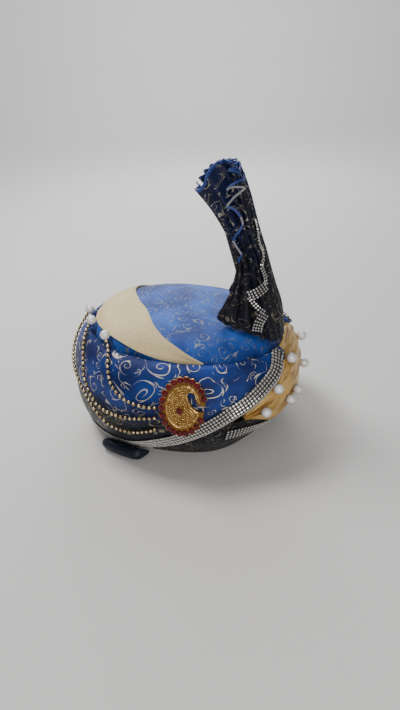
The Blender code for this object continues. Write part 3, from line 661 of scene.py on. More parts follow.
rows, weave_rows = [], []
for angle in spread(-BAND_ANGLE, BAND_ANGLE, 120):
    top = min(drape_hem(angle) - BAND_TOP_BELOW_HEM, edge_height(angle) - BAND_CLEAR)
    outer = [band_point(angle, up) for up in spread(0.0, top, 12)]
    inner = [cap_side_point(angle, z, SEAT) for z in (outer[-1].z, outer[0].z)]
    rows.append(outer + inner)
    weave_rows.append([(math.radians(angle) * 0.118, v) for v in running_lengths(outer + inner)])
band = new_piece("brow_band", cloth_mesh("brow_band", rows, closed=True,
                                         weave=lambda i, j: weave_rows[i][j]), fan_brocade)
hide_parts("forehead_band")
print("band:", len(band.data.polygons), "faces")

# %% [markdown]
# The silk in the V is one length, gathered by hand so that it falls in soft ridges that
# run up towards the middle of the forehead. A wave across the silk gives the main
# ridges. Slow noise bends them, and a fine ripple between them stands for the crushed
# silk, whose sheen shows every small fold.

# %% Gathered silk
DRAPE_ANGLE, DRAPE_TOP, DRAPE_INSET, DRAPE_CLEAR, DRAPE_TUCK = 53.0, 0.965, 0.0042, 0.022, 0.3
DRAPE_PUFF, DRAPE_PUFFS, DRAPE_PUFF_SLANT, DRAPE_FLAT = 0.0022, 4.5, 0.9, 0.12


def silk_wave(angle, share):
    """Which ridge of the silk a place lies on: whole numbers are crests."""
    bend = 0.30 * noise.noise(Vector((angle * 0.045, share * 2.2, 4.0)))
    return DRAPE_PUFFS * share + DRAPE_PUFF_SLANT * abs(angle) / DRAPE_ANGLE + bend


def drape_point(angle, up, share):
    """The silk's outside; share runs from 0 at its hem to 1 at its top."""
    wave = silk_wave(angle, share)
    fold = 0.5 + 0.5 * math.cos(2 * math.pi * wave)
    edge = smooth_step(share / DRAPE_FLAT) * smooth_step((1.0 - share) / DRAPE_FLAT)
    uneven = 0.6 * noise.noise(Vector((angle * 0.06, wave, 2.0)))
    second = 0.5 + 0.5 * math.cos(2 * math.pi * (2.0 * wave + uneven))
    crease = 0.0011 * (second - 0.5) + 0.0009 * noise.noise(Vector((angle * 0.07, wave * 2.6, 9.0)))
    puff = (DRAPE_PUFF * (fold ** 0.7 - 0.5) + crease) * edge
    return wrap_point(angle, up, DRAPE_INSET - puff + DRAPE_TUCK * front_tuck(angle, up))


rows, weave_rows = [], []
for angle in spread(-DRAPE_ANGLE, DRAPE_ANGLE, 150):
    top = min(DRAPE_TOP, edge_height(angle) - DRAPE_CLEAR)
    hem = drape_hem(angle)
    shares = spread(0.0, 1.0, 90)
    outer = [drape_point(angle, hem + (top - hem) * s, s) for s in shares]
    ceiling = min(outer[-1].z, oval(angle, *CAP_ROWS[-1]).z)
    inner = [cap_side_point(angle, z, SEAT) for z in (ceiling, 0.5 * (ceiling + outer[0].z), outer[0].z)]
    rows.append(outer + inner)
    along = math.radians(angle) * 0.125
    weave_rows.append([(along, silk_wave(angle, s) * 0.018) for s in shares] + [(along, 0.1)] * 3)

gold_silk, shader = new_finish("gold_silk", (0.60, 0.40, 0.16), 0.36, 0.30)
where = weave_place(shader)
crush_and_crease_shade = mottle(vector_calc("MULTIPLY", where, (0.22, 1.0, 1.0)), 0.0045, 4.0)
tone = mottle(vector_calc("MULTIPLY", where, (0.4, 1.0, 1.0)), 0.016, 2.0)
silk_tone = blend_colours(ramp(tone, 0.36, 0.60), (0.34, 0.175, 0.038), (0.62, 0.40, 0.125))
# where the crush is low, in the small creases, the silk is painted dark brown: a painted shade in the creases
colour_by(shader, ramp(crush_and_crease_shade, 0.42, 0.30), silk_tone, (0.16, 0.075, 0.02))
raise_by(shader, crush_and_crease_shade, 0.0009)
shader.inputs["Sheen Weight"].default_value = 0.3
shader.inputs["Sheen Roughness"].default_value = 0.3
shader.inputs["Sheen Tint"].default_value = (1.0, 0.85, 0.6, 1.0)

silk = new_piece("gathered_silk", cloth_mesh("gathered_silk", rows, closed=True,
                                             weave=lambda i, j: weave_rows[i][j]), gold_silk)
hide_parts("front_drape")
print("silk:", len(silk.data.polygons), "faces")

# %% [markdown]
# The sash is a length of cream cloth pressed into a crescent and laid over the crown,
# with a little glitter woven in. It lies flat, so its two long edges follow a table of
# places, and the cloth between them has only faint creases.

# %% Cream sash
SASH_ROWS = [
    # angle, outer_inward, inner_inward
    (72.0, 0.055, 0.080),
    (86.0, 0.060, 0.330),
    (100.0, 0.130, 0.530),
    (114.0, 0.205, 0.650),
    (128.0, 0.245, 0.710),
    (142.0, 0.245, 0.735),
    (156.0, 0.230, 0.735),
    (170.0, 0.210, 0.710),
    (184.0, 0.190, 0.665),
    (198.0, 0.175, 0.585),
    (212.0, 0.150, 0.465),
    (226.0, 0.110, 0.310),
    (240.0, 0.070, 0.120),
]
SASH_LIFT, SASH_THICK, SASH_CREASE = 0.0009, 0.0016, 0.0007

cream_cloth, shader = new_finish("cream_cloth", (0.70, 0.56, 0.30), 0.62)
where = weave_place(shader)
fleck_cells = new_node(shader, "ShaderNodeTexVoronoi")
put(fleck_cells.inputs["Vector"], where)
fleck_cells.inputs["Scale"].default_value = 380.0
fleck = ramp(Value(fleck_cells.outputs["Distance"]), 0.34, 0.22)
cloudy = mottle(where, 0.03, 3.0)
cloth_colour = blend_colours(cloudy, (0.56, 0.43, 0.20), (0.76, 0.63, 0.36))
colour_by(shader, fleck * 0.5, cloth_colour, (0.95, 0.86, 0.60))
put(shader.inputs["Metallic"], fleck * 0.7)
raise_by(shader, thread_grid(where, 6000.0) * 0.2 + cloudy, 0.0006)

rows = []
for share in spread(0.0, 1.0, 110):
    angle, outer_up, inner_up = spline(SASH_ROWS, share)
    low, high = [], []
    for across, up in zip(spread(0.0, 1.0, 16), spread(outer_up, inner_up, 16)):
        normal = outward(crown_point, angle, up)
        crease = 0.5 + 0.5 * math.sin(across * 9.0 + 1.5 * math.sin(share * 7.0))
        soft = SASH_CREASE * crease * math.sin(across * math.pi)
        low.append(crown_point(angle, up) + normal * SASH_LIFT)
        high.append(crown_point(angle, up) + normal * (SASH_LIFT + SASH_THICK + soft))
    rows.append(low + high[::-1])
sash = new_piece("cream_sash", cloth_mesh("cream_sash", rows, closed=True), cream_cloth)
sash_length = running_lengths([spline_row[8] for spline_row in rows])[-1]
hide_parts("crown_sash")

# %% [markdown]
# The fan is one stiffened length of dark brocade. It is pleated like an accordion, bent
# round its front fold and gathered at the foot, so it opens upwards into a cupped fan.
# Every point of it has two numbers again: how far across the cloth it lies, and what
# share of the way from the foot to the rim. The foot follows what it stands on.

# %% The fan's shape
PLUME_ROWS = [
    # height, spine, sides, back, half_width, lean, half_turn, fold_depth
    (0.1220, 0.1070, 0.0780, 0.0340, 0.0385, 0.0000, 125.0, 0.0012),
    (0.1500, 0.1020, 0.0700, 0.0250, 0.0390, 0.0000, 125.0, 0.0022),
    (0.1720, 0.0950, 0.0700, 0.0420, 0.0325, 0.0000, 125.0, 0.0026),
    (0.1960, 0.0885, 0.0710, 0.0550, 0.0260, 0.0010, 130.0, 0.0026),
    (0.2180, 0.0825, 0.0690, 0.0570, 0.0240, 0.0020, 135.0, 0.0028),
    (0.2400, 0.0745, 0.0615, 0.0505, 0.0260, 0.0040, 155.0, 0.0032),
    (0.2620, 0.0665, 0.0525, 0.0390, 0.0300, 0.0070, 170.0, 0.0030),
    (0.2840, 0.0570, 0.0395, 0.0215, 0.0330, 0.0110, 176.0, 0.0022),
]
PLUME_SQUARENESS, PLUME_PLEATS = 0.75, 14
PLUME_TOP_RISE, PLUME_TOP_SLOPE, PLUME_TOP_START = 0.010, 0.22, 0.6
PLUME_CLOSING, PLUME_CLOSING_RISE, PLUME_CLOSING_SPAN = 0.55, 0.019, (-0.75, 0.25)
PLUME_SEAT, PLUME_FOOT_RISE, PLUME_THICK = 0.0007, 0.06, 0.0022


def skin_tree(*pieces):
    """The skins of pieces, for finding the nearest place on them."""
    points, faces = [], []
    for piece in pieces:
        start = len(points)
        points += [v.co.copy() for v in piece.data.vertices]
        faces += [[start + i for i in face.vertices] for face in piece.data.polygons]
    return BVHTree.FromPolygons(points, faces)


def accordion(across):
    """The pleats, from -1 to 1: a wave with narrow folds."""
    wave = math.cos(math.pi * PLUME_PLEATS * (across + 1.0))
    return 0.45 * wave + 0.55 * (1.0 - 2.0 * math.acos(max(-1.0, min(1.0, wave))) / math.pi)


def plume_point(across, share, floor, pleat=None):
    """A point of the cloth. pleat overrules the accordion: 1 is the line over all the outer folds."""
    height, spine, sides, back, half_width, lean, half_turn, depth = spline(PLUME_ROWS, share)
    turn = math.radians(half_turn * across)
    c, s = math.cos(turn), math.sin(turn)
    reach = (spine - sides) if c > 0 else (sides - back)
    fold = (accordion(across) if pleat is None else pleat) * depth
    forward = sides + math.copysign(abs(c) ** PLUME_SQUARENESS, c) * reach + fold * c
    top = smooth_step((share - PLUME_TOP_START) / (1.0 - PLUME_TOP_START))
    start, end = PLUME_CLOSING_SPAN
    closing = max(0.0, s) ** PLUME_SQUARENESS * smooth_step((c - start) / (end - start)) * top
    reach = math.copysign(abs(s) ** PLUME_SQUARENESS, s) - PLUME_CLOSING * closing
    right = lean + reach * half_width + fold * s
    climb = PLUME_TOP_RISE * (0.5 + 0.5 * c) + PLUME_TOP_SLOPE * (lean + half_width - right)
    point = place(forward, right, height + climb * top + PLUME_CLOSING_RISE * closing)
    if share > 0.5:
        return point
    under = []
    for x, y in ((0, 0), (1, 0), (-1, 0), (0, 1), (0, -1)):
        above = Vector((point.x + x * PLUME_THICK, point.y + y * PLUME_THICK, 0.5))
        hit = floor.ray_cast(above, Vector((0, 0, -1)))
        under.append(hit[0].z if hit[0] else 0.0)
    lowest = max(under) + PLUME_SEAT + PLUME_FOOT_RISE * share
    point.z = max(point.z, lowest) if share > 0.0 else lowest
    return point


plume_columns, plume_steps = 280, 70
floor = skin_tree(crown, wrap, silk)
plume_grid = [[plume_point(a, s, floor) for s in spread(0.0, 1.0, plume_steps)]
              for a in spread(-1.0, 1.0, plume_columns)]
print("fan: rim", round(max(p.z for column in plume_grid for p in column) * 1000), "mm above the table")

# %% Fan of pleated brocade
def grid_normal(grid, i, j):
    by_column = grid[min(i + 1, len(grid) - 1)][j] - grid[max(i - 1, 0)][j]
    by_row = grid[i][min(j + 1, len(grid[0]) - 1)] - grid[i][max(j - 1, 0)]
    return by_row.cross(by_column).normalized()


plume_normals = [[grid_normal(plume_grid, i, j) for j in range(plume_steps + 1)]
                 for i in range(plume_columns + 1)]
front = plume_normals[plume_columns // 2][plume_steps // 2]
facing = 1.0 if front.y < 0 else -1.0
half_sheet = 0.0008
rows = []
for points, normals in zip(plume_grid, plume_normals):
    outer = [p + n * facing * half_sheet for p, n in zip(points, normals)]
    inner = [p - n * facing * half_sheet for p, n in zip(points, normals)]
    rows.append(outer + inner[::-1])
plume_width = running_lengths([column[plume_steps // 2] for column in plume_grid])
plume_height = running_lengths([point for point in plume_grid[plume_columns // 2]])
rim = plume_steps

blue_edge, shader = new_finish("blue_edge", (0.010, 0.034, 0.19), 0.5, 0.1)
raise_by(shader, mottle(weave_place(shader), 0.0015, 3.0), 0.0003)


def plume_weave(i, j):
    step = j if j <= rim else 2 * plume_steps + 1 - j
    return plume_width[i], plume_height[max(step, 0)]


mesh = cloth_mesh("pleated_fan", rows, closed=True, weave=plume_weave,
                  second=lambda i, j: rim - 1 <= j <= rim + 1)
plume = new_piece("pleated_fan", mesh, fan_brocade, blue_edge)
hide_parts("fan_plume")

# %% [markdown]
# Two kinds of trim run over the cap: a studded ribbon and a bead chain. A studded
# ribbon is black tape with four rows of small square studs. One function makes it for
# any surface: it is given the place and the direction outwards for a distance along
# the ribbon and across it. The tape comes first, then the studs at an even pitch.

# %% Studded ribbon
RIBBON_STUDS, STUD_PITCH, STUD_SIZE, STUD_HEIGHT, TAPE_THICK = 4, 0.0037, 0.0027, 0.0009, 0.0007

black_tape, shader = new_finish("black_tape", (0.012, 0.011, 0.013), 0.7)
raise_by(shader, sine(split(weave_place(shader))[0], 7000.0), 0.0002)

silver_stud, shader = new_finish("silver_stud", (0.80, 0.79, 0.76), 0.22, 1.0)
tarnish = mottle(solid_place(shader), 0.004, 3.0)
put(shader.inputs["Roughness"], ramp(tarnish, 0.3, 0.7, 0.14, 0.38))
colour_by(shader, tarnish, (0.88, 0.87, 0.85), (0.62, 0.60, 0.56))


def tape_and_studs(name, lay, width, lift, steps, studs=RIBBON_STUDS, pitch=STUD_PITCH, size=STUD_SIZE):
    """lay(s, t) gives a point and the way outwards; s runs 0 to 1 along, t is in metres across."""
    rows = []
    for s in spread(0.0, 1.0, steps):
        places = [lay(s, t) for t in spread(-width / 2, width / 2, 4)]
        rows.append([p + n * lift for p, n in places]
                    + [p + n * (lift + TAPE_THICK) for p, n in places[::-1]])
    tape = new_piece(name + "_tape", cloth_mesh(name + "_tape", rows, closed=True), black_tape)
    middle = [lay(s, 0.0)[0] for s in spread(0.0, 1.0, steps)]
    lengths = running_lengths(middle)
    count = max(1, int(lengths[-1] / pitch))
    bm = bmesh.new()
    for number in range(count):
        wanted = (number + 0.5) * lengths[-1] / count
        index = bisect.bisect_left(lengths, wanted)
        s = (index - (lengths[index] - wanted) / (lengths[index] - lengths[index - 1])) / steps
        along = (lay(min(s + 0.002, 1.0), 0.0)[0] - lay(max(s - 0.002, 0.0), 0.0)[0]).normalized()
        for row in range(studs):
            point, normal = lay(s, (row - (studs - 1) / 2) * width / studs)
            side = normal.cross(along).normalized()
            base = point + normal * (lift + TAPE_THICK - 0.0002)
            corners = []
            for share, height in ((1.0, 0.0), (0.86, 0.6), (0.45, 1.0)):
                half, up = size / 2 * share, normal * (STUD_HEIGHT * height)
                corners.append([bm.verts.new(base + up + along * a * half + side * b * half)
                                for a, b in ((-1, -1), (1, -1), (1, 1), (-1, 1))])
            for low, high in zip(corners, corners[1:]):
                for k in range(4):
                    bm.faces.new((low[k], low[(k + 1) % 4], high[(k + 1) % 4], high[k]))
            bm.faces.new(corners[-1])
            bm.faces.new(corners[0][::-1])
    bmesh.ops.recalc_face_normals(bm, faces=bm.faces)
    mesh = bpy.data.meshes.new(name + "_studs")
    bm.to_mesh(mesh)
    bm.free()
    studs_piece = new_piece(name + "_studs", mesh, silver_stud)
    print(name, "has", count * studs, "studs on", round(lengths[-1] * 1000), "mm of tape")
    return tape, studs_piece, lengths[-1]


EDGE_RIBBON_END = 0.985


def lay_edge(s, t):
    angle, up = edge_place(EDGE_RIBBON_END * (2.0 * s - 1.0), t)
    return wrap_point(angle, up), outward(wrap_point, angle, up)


edge_tape, edge_studs, edge_length = tape_and_studs("edge_ribbon", lay_edge, RIBBON_WIDTH, 0.0009, 420)
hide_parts("edge_ribbon")

BAND_RIBBON_ANGLE, BAND_RIBBON_FRONT, BAND_RIBBON_RISE, BAND_RIBBON_SCALE = 62.0, 0.287, 0.048, 5.4
BAND_RIBBON_SPAN = (28.0, 62.0)


def lay_band(s, t):
    angle = BAND_RIBBON_ANGLE * (2.0 * s - 1.0)
    start, end = BAND_RIBBON_SPAN
    rise = BAND_RIBBON_RISE * smooth_step((abs(angle) - start) / (end - start))
    up = BAND_RIBBON_FRONT + rise - t * BAND_RIBBON_SCALE
    return band_point(angle, up), outward(band_point, angle, up)


band_tape, band_studs, band_length = tape_and_studs("front_ribbon", lay_band, RIBBON_WIDTH, 0.0007, 180,
                                                    pitch=0.0041, size=0.0025)
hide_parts("front_ribbon")

# %% [markdown]
# The fan's cloth has a blue selvedge with silver lace, and a studded ribbon is sewn
# beside it. Both run along one long edge, so once the cloth is folded they come back
# fold after fold, as a zigzag up the side of the fan. Each stretch is laid on the fan by
# its places on the cloth, and where the ribbon shows its broad face it has more studs.

# %% Selvedge, lace and ribbon on the fan
SELVEDGE_FOLDS = [(-0.16, 0.99), (0.38, 0.95), (-0.13, 0.935), (0.51, 0.885), (0.14, 0.88), (0.57, 0.835),
                  (0.43, 0.775), (0.43, 0.745), (0.71, 0.685), (0.68, 0.60), (0.86, 0.535)]
LACE_STRETCHES = (3, 4, 6, 8)
RIBBON_STRETCHES = [
    # studs across, places from end to end
    (2, [(0.04, 0.75), (0.05, 0.70), (0.15, 0.65), (0.14, 0.58), (0.20, 0.54), (0.33, 0.50), (0.30, 0.43),
         (0.31, 0.37)]),
    (4, [(0.31, 0.37), (0.50, 0.345), (0.69, 0.317)]),
    (2, [(0.69, 0.317), (0.57, 0.25), (0.45, 0.20)]),
    (4, [(0.45, 0.20), (0.55, 0.15), (0.62, 0.09)]),
]
TRIM_LIFT, SELVEDGE_WIDTH, LACE_WIDTH, SMALL_STUD, SMALL_PITCH = 0.0012, 0.0024, 0.0019, 0.0020, 0.0029


def fan_point(across, share):
    """A place on the outer folds, which the trims span."""
    return plume_point(across, share, floor, 0.75)


def lay_fan(places):
    def lay(s, t):
        across, share = spline(places, s)
        middle = fan_point(across, share)
        by_across = fan_point(across + 0.03, share) - fan_point(across - 0.03, share)
        by_share = fan_point(across, share + 0.01) - fan_point(across, share - 0.01)
        normal = by_share.cross(by_across).normalized() * facing
        a0, s0 = spline(places, max(s - 0.01, 0.0))
        a1, s1 = spline(places, min(s + 0.01, 1.0))
        along = (fan_point(a1, s1) - fan_point(a0, s0)).normalized()
        return middle + normal.cross(along).normalized() * t, normal
    return lay


def flat_strip(lay, width, lift, thick, steps):
    rows = []
    for s in spread(0.0, 1.0, steps):
        places = [lay(s, t) for t in spread(-width / 2, width / 2, 3)]
        rows.append([p + n * lift for p, n in places] + [p + n * (lift + thick) for p, n in places[::-1]])
    return cloth_mesh("strip", rows, closed=True)


def joined(name, meshes):
    bm = bmesh.new()
    for mesh in meshes:
        bm.from_mesh(mesh)
        bpy.data.meshes.remove(mesh)
    return mesh_from(bm, name)


def mesh_from(bm, name, smooth=True):
    for face in bm.faces:
        face.smooth = smooth
    mesh = bpy.data.meshes.new(name)
    bm.to_mesh(mesh)
    bm.free()
    return mesh


silver_lace, shader = new_finish("silver_lace", (0.74, 0.73, 0.70), 0.34, 0.8)
loops = thread_grid(weave_place(shader), 3600.0)
raise_by(shader, loops, 0.0004)
colour_by(shader, ramp(loops, -0.4, 0.3), (0.16, 0.15, 0.15), (0.82, 0.81, 0.78))

folds = [lay_fan([a, b]) for a, b in zip(SELVEDGE_FOLDS, SELVEDGE_FOLDS[1:])]
selvedge = new_piece("fan_selvedge", joined("fan_selvedge", [
    flat_strip(lay, SELVEDGE_WIDTH, TRIM_LIFT, 0.0008, 24) for lay in folds]), blue_edge)
lace = new_piece("fan_lace", joined("fan_lace", [
    flat_strip(folds[i], LACE_WIDTH, TRIM_LIFT + 0.0006, 0.0007, 24) for i in LACE_STRETCHES]), silver_lace)
fan_trims = [selvedge, lace]
for number, (studs, places) in enumerate(RIBBON_STRETCHES):
    *pieces, _ = tape_and_studs(f"fan_ribbon_{number + 1}", lay_fan(places), studs * SMALL_PITCH, TRIM_LIFT,
                                40, studs=studs, pitch=SMALL_PITCH, size=SMALL_STUD)
    fan_trims += pieces

# %% [markdown]
# The wrap's lower edge is finished with a silver cord about as thick as string. It
# follows the same line as the ribbon, just below the cloth that shows.

# %% Silver piping
def tube_mesh(name, points, radius, sides=10):
    rows = []
    guide = Vector((0, 0, 1))
    for i, point in enumerate(points):
        along = (points[min(i + 1, len(points) - 1)] - points[max(i - 1, 0)]).normalized()
        side = along.cross(guide).normalized()
        up = side.cross(along)
        rows.append([point + (side * math.cos(t) + up * math.sin(t)) * radius
                     for t in (2 * math.pi * k / sides for k in range(sides))])
    return cloth_mesh(name, rows, closed=True)


silver_cord, shader = new_finish("silver_cord", (0.66, 0.64, 0.60), 0.34, 0.85)
x, y, _ = split(weave_place(shader))
raise_by(shader, calc("SINE", x * 4200.0 + y * 1400.0), 0.0003)

PIPING_RADIUS = 0.0011
points = []
for along in spread(-0.90, 0.90, 360):
    angle, up = edge_place(along, EDGE_BELOW)
    up = above_rest(angle, up)
    if up <= 0.01:
        continue
    points.append(wrap_point(angle, up) + outward(wrap_point, angle, up) * 0.0004)
halves = {"left": [p for p in points if p.x > 0], "right": [p for p in points if p.x <= 0]}
for side_name, line in halves.items():
    name = "piping_" + side_name
    piping = new_piece(name, tube_mesh(name, line, PIPING_RADIUS), silver_cord)
    print("piping", side_name, round(running_lengths(line)[-1] * 1000), "mm")

# %% [markdown]
# The cloth's end is rolled up and tucked under the wrap behind the ear. The solid
# already has the right size and place, so it is copied and smoothed, and gets a satin
# finish whose fine ribs run along the roll.

# %% Rolled end
navy_satin, shader = new_finish("navy_satin", (0.004, 0.006, 0.022), 0.34)
ribs_and_valley_shade = mottle(vector_calc("MULTIPLY", solid_place(shader), (0.25, 0.25, 2.0)), 0.003, 4.0)
raise_by(shader, ribs_and_valley_shade, 0.0012)
# the ribs' valleys are painted darker: a painted shade
colour_by(shader, ribs_and_valley_shade, (0.001, 0.002, 0.008), (0.003, 0.006, 0.024))
shader.inputs["Specular IOR Level"].default_value = 0.35

mesh = bpy.data.objects["tail_roll"].data.copy()
mesh.name = "rolled_end"
mesh.materials.clear()
rolled_end = new_piece("rolled_end", mesh, navy_satin)
bm = bmesh.new()
bm.from_mesh(mesh)
bmesh.ops.remove_doubles(bm, verts=bm.verts, dist=0.00001)
bm.to_mesh(mesh)
bm.free()
soften = rolled_end.modifiers.new("soften", "SUBSURF")
soften.levels = soften.render_levels = 2
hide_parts("tail_roll")
mesh.shade_smooth()
print("rolled end:", [round(v * 1000) for v in rolled_end.dimensions], "mm")

# %% [markdown]
# The pearls are the plain part of the jewellery, so their lustre does the work: a
# cream body under a clear coat, painted grey towards its edge with the angle of view
# as a painted shade. Each takes the place and size of its solid.

# %% Pearls
pearl_lustre, shader = new_finish("pearl_lustre", (0.80, 0.76, 0.68), 0.26)
shader.inputs["Coat Weight"].default_value = 1.0
shader.inputs["Coat IOR"].default_value = 1.8
shader.inputs["Coat Roughness"].default_value = 0.10
# the pearl is painted grey towards its edge as it turns from the view: a painted shade
rim_shade_node = new_node(shader, "ShaderNodeLayerWeight")
rim_shade_node.inputs["Blend"].default_value = 0.6
colour_by(shader, Value(rim_shade_node.outputs["Facing"]), (0.93, 0.93, 0.93), (0.26, 0.25, 0.26))


def ball(bm, centre, radius, segments=24, rings=16):
    bmesh.ops.create_uvsphere(bm, u_segments=segments, v_segments=rings, radius=radius,
                              matrix=Matrix.Translation(centre))


pearl_nodes = [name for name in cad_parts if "pearl" in name]
pearl_centres = {}
for node in pearl_nodes:
    low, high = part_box(node)
    centre = (Vector(low) + Vector(high)) / 2
    radius = (high[2] - low[2]) / 2
    pearl_centres[node] = (centre, radius)
    bm = bmesh.new()
    ball(bm, centre, radius, 32, 20)
    pearl = new_piece("bright_" + node, mesh_from(bm, "bright_" + node), pearl_lustre)
    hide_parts(node)
print(len(pearl_nodes), "pearls of", round(radius * 2000, 1), "mm")

# %% [markdown]
# Each bead chain hangs from its pearl in a loose curve and ends under the brooch. The
# solids are plain tubes along the same curves. Here the curve is walked in even steps,
# a brass bead is set at each step, and a dark thread runs through them all.

# %% Curves of the three chains
BEAD_RADIUS, BEAD_PITCH, THREAD_RADIUS = 0.0021, 0.0058, 0.0011
CHAIN_ROUTES = {
    "upper": [(122.5, 0.95), (115.5, 0.68), (110.5, 0.59), (103.5, 0.545), (95.5, 0.535), (91.4, 0.54)],
    "middle": [(153.0, 0.94), (138.0, 0.69), (132.0, 0.56), (124.5, 0.475), (117.0, 0.445),
               (106.0, 0.445), (96.0, 0.47), (91.6, 0.485)],
    "lower": [(172.0, 0.80), (161.5, 0.64), (149.0, 0.56), (136.0, 0.50), (127.5, 0.44), (120.5, 0.38),
              (113.0, 0.35), (103.5, 0.355), (96.0, 0.385), (91.8, 0.415)],
}


def chain_curve(strand):
    rows = CHAIN_ROUTES[strand]
    curve = []
    for share in spread(0.0, 1.0, 200):
        angle, up = spline(rows, share)
        curve.append(wrap_point(angle, up) + outward(wrap_point, angle, up) * (BEAD_RADIUS + SEAT))
    centre, radius = pearl_centres[f"pearl_{strand}_chain"]
    curve.insert(0, centre + (curve[0] - centre).normalized() * radius)
    return curve


def at_length(curve, lengths, wanted):
    index = min(max(bisect.bisect_left(lengths, wanted), 1), len(curve) - 1)
    share = (wanted - lengths[index - 1]) / (lengths[index] - lengths[index - 1])
    return curve[index - 1].lerp(curve[index], share)


chain_curves = {strand: chain_curve(strand) for strand in CHAIN_ROUTES}
for strand, curve in chain_curves.items():
    print("chain", strand, round(running_lengths(curve)[-1] * 1000), "mm")

# %% Brass beads on their threads
brass, shader = new_finish("brass_beads", (0.78, 0.60, 0.32), 0.24, 1.0)
dull = mottle(solid_place(shader), 0.003, 3.0)
colour_by(shader, ramp(dull, 0.4, 0.6), (0.80, 0.64, 0.38), (0.34, 0.24, 0.11))
put(shader.inputs["Roughness"], ramp(dull, 0.3, 0.7, 0.14, 0.36))
dark_thread, shader = new_finish("dark_thread", (0.008, 0.006, 0.005), 0.8)
raise_by(shader, sine(split(weave_place(shader))[0], 6000.0), 0.0002)

for strand, curve in chain_curves.items():
    lengths = running_lengths(curve)
    count = int((lengths[-1] - 2 * BEAD_RADIUS) / BEAD_PITCH)
    pitch = (lengths[-1] - 2 * BEAD_RADIUS) / count
    bm = bmesh.new()
    for number in range(count + 1):
        ball(bm, at_length(curve, lengths, BEAD_RADIUS + number * pitch), BEAD_RADIUS, 16, 12)
    beads = new_piece("brass_" + strand, mesh_from(bm, "brass_" + strand), brass)
    name = "thread_" + strand
    thread = new_piece(name, tube_mesh(name, curve, THREAD_RADIUS, 6), dark_thread)
    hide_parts(f"bead_chain_{strand}")
    print(strand, "has", count + 1, "beads, one each", round(pitch * 1000, 1), "mm")

# %% [markdown]
# The brooch is a mango, the old paisley shape, with its tip curled over. It is drawn
# flat first, x forward and y up, and then set on the wrap. A goldsmith would pierce a
# plate, solder small cups round its edge for the stones and fill the middle with rows
# of gold grains. The same steps make it here.

# %% The brooch's frame and its ring of stones
BROOCH_SPOT, BROOCH_HALF, BROOCH_TILT = (82.0, 0.565), (0.0218, 0.0305), 10.0
BROOCH_PLATE, BROOCH_LIP, STONE_RADIUS, STONE_COUNT = 0.0028, 0.0010, 0.0034, 20
STONE_SPAN, CENTRE_STONE = (-22.0, 312.0), (-0.0036, -0.0045)
SLOT_WIDTH = 0.0070
SLOT_PATH = [(0.0270, -0.0030), (0.0165, -0.0015), (0.0110, 0.0050), (0.0088, 0.0125)]


def brooch_oval(turn, size=1.0):
    """A point at an angle on the brooch's tilted oval."""
    x, y = BROOCH_HALF[0] * math.cos(turn) * size, BROOCH_HALF[1] * math.sin(turn) * size
    tilt = math.radians(-BROOCH_TILT)
    return Vector((x * math.cos(tilt) - y * math.sin(tilt), x * math.sin(tilt) + y * math.cos(tilt), 0.0))


def stone_spot(number):
    return brooch_oval(math.radians(STONE_SPAN[0] - STONE_SPAN[1] * number / (STONE_COUNT - 1)))


normal = outward(wrap_point, *BROOCH_SPOT)
x_axis = Vector((0, 0, 1)).cross(normal).normalized()
if x_axis.y > 0:
    x_axis = -x_axis
brooch_frame = Matrix((x_axis, normal.cross(x_axis), normal)).transposed().to_4x4()
brooch_frame.translation = wrap_point(*BROOCH_SPOT) + normal * SEAT


def set_on_cap(bm, name, smooth=False):
    """A mesh from a drawing in the brooch's plane."""
    bmesh.ops.transform(bm, matrix=brooch_frame, verts=bm.verts)
    bmesh.ops.recalc_face_normals(bm, faces=bm.faces)
    return mesh_from(bm, name, smooth)


print("brooch:", [round(2000 * half) for half in BROOCH_HALF], "mm to the stones' middles")

# %% Gilt metal and garnet
gilt, shader = new_finish("gilt_metal", (0.83, 0.58, 0.22), 0.28, 1.0)
age = mottle(solid_place(shader), 0.0025, 4.0)
colour_by(shader, ramp(age, 0.4, 0.6), (0.90, 0.66, 0.28), (0.40, 0.22, 0.06))
put(shader.inputs["Roughness"], ramp(age, 0.3, 0.7, 0.18, 0.42))

# The plate's gilt is painted dark, a painted shade, so that the gaps between the grains and the cups look
# shaded.
shaded_gilt = gilt.copy()
shaded_gilt.name = "shaded_gilt"
shader = shaded_gilt.node_tree.nodes["Principled BSDF"]
for link in list(shader.inputs["Base Color"].links):
    shaded_gilt.node_tree.links.remove(link)
shader.inputs["Base Color"].default_value = (0.22, 0.11, 0.03, 1.0)

garnet, shader = new_finish("garnet", (0.16, 0.006, 0.010), 0.16)
shader.inputs["Coat Weight"].default_value = 0.10
shader.inputs["Coat Roughness"].default_value = 0.05
shader.inputs["Specular IOR Level"].default_value = 0.28
depth = mottle(solid_place(shader), 0.0018, 2.0)
colour_by(shader, ramp(depth, 0.35, 0.65), (0.030, 0.001, 0.002), (0.17, 0.004, 0.008))
print("jewellery finishes ready")

# %% Pierced plate
def slot_distance(point):
    """How far a point of the plate lies from the middle line of the pierced hook."""
    best = 1.0
    for (x0, y0), (x1, y1) in zip(SLOT_PATH, SLOT_PATH[1:]):
        start, run = Vector((x0, y0)), Vector((x1 - x0, y1 - y0))
        share = min(max((point.xy - start).dot(run) / run.dot(run), 0.0), 1.0)
        best = min(best, (point.xy - start - run * share).length)
    return best


def loose_object(bm, name):
    mesh = bpy.data.meshes.new(name)
    bmesh.ops.recalc_face_normals(bm, faces=bm.faces)
    bm.to_mesh(mesh)
    bm.free()
    piece = bpy.data.objects.new(name, mesh)
    bpy.context.scene.collection.objects.link(piece)
    return piece


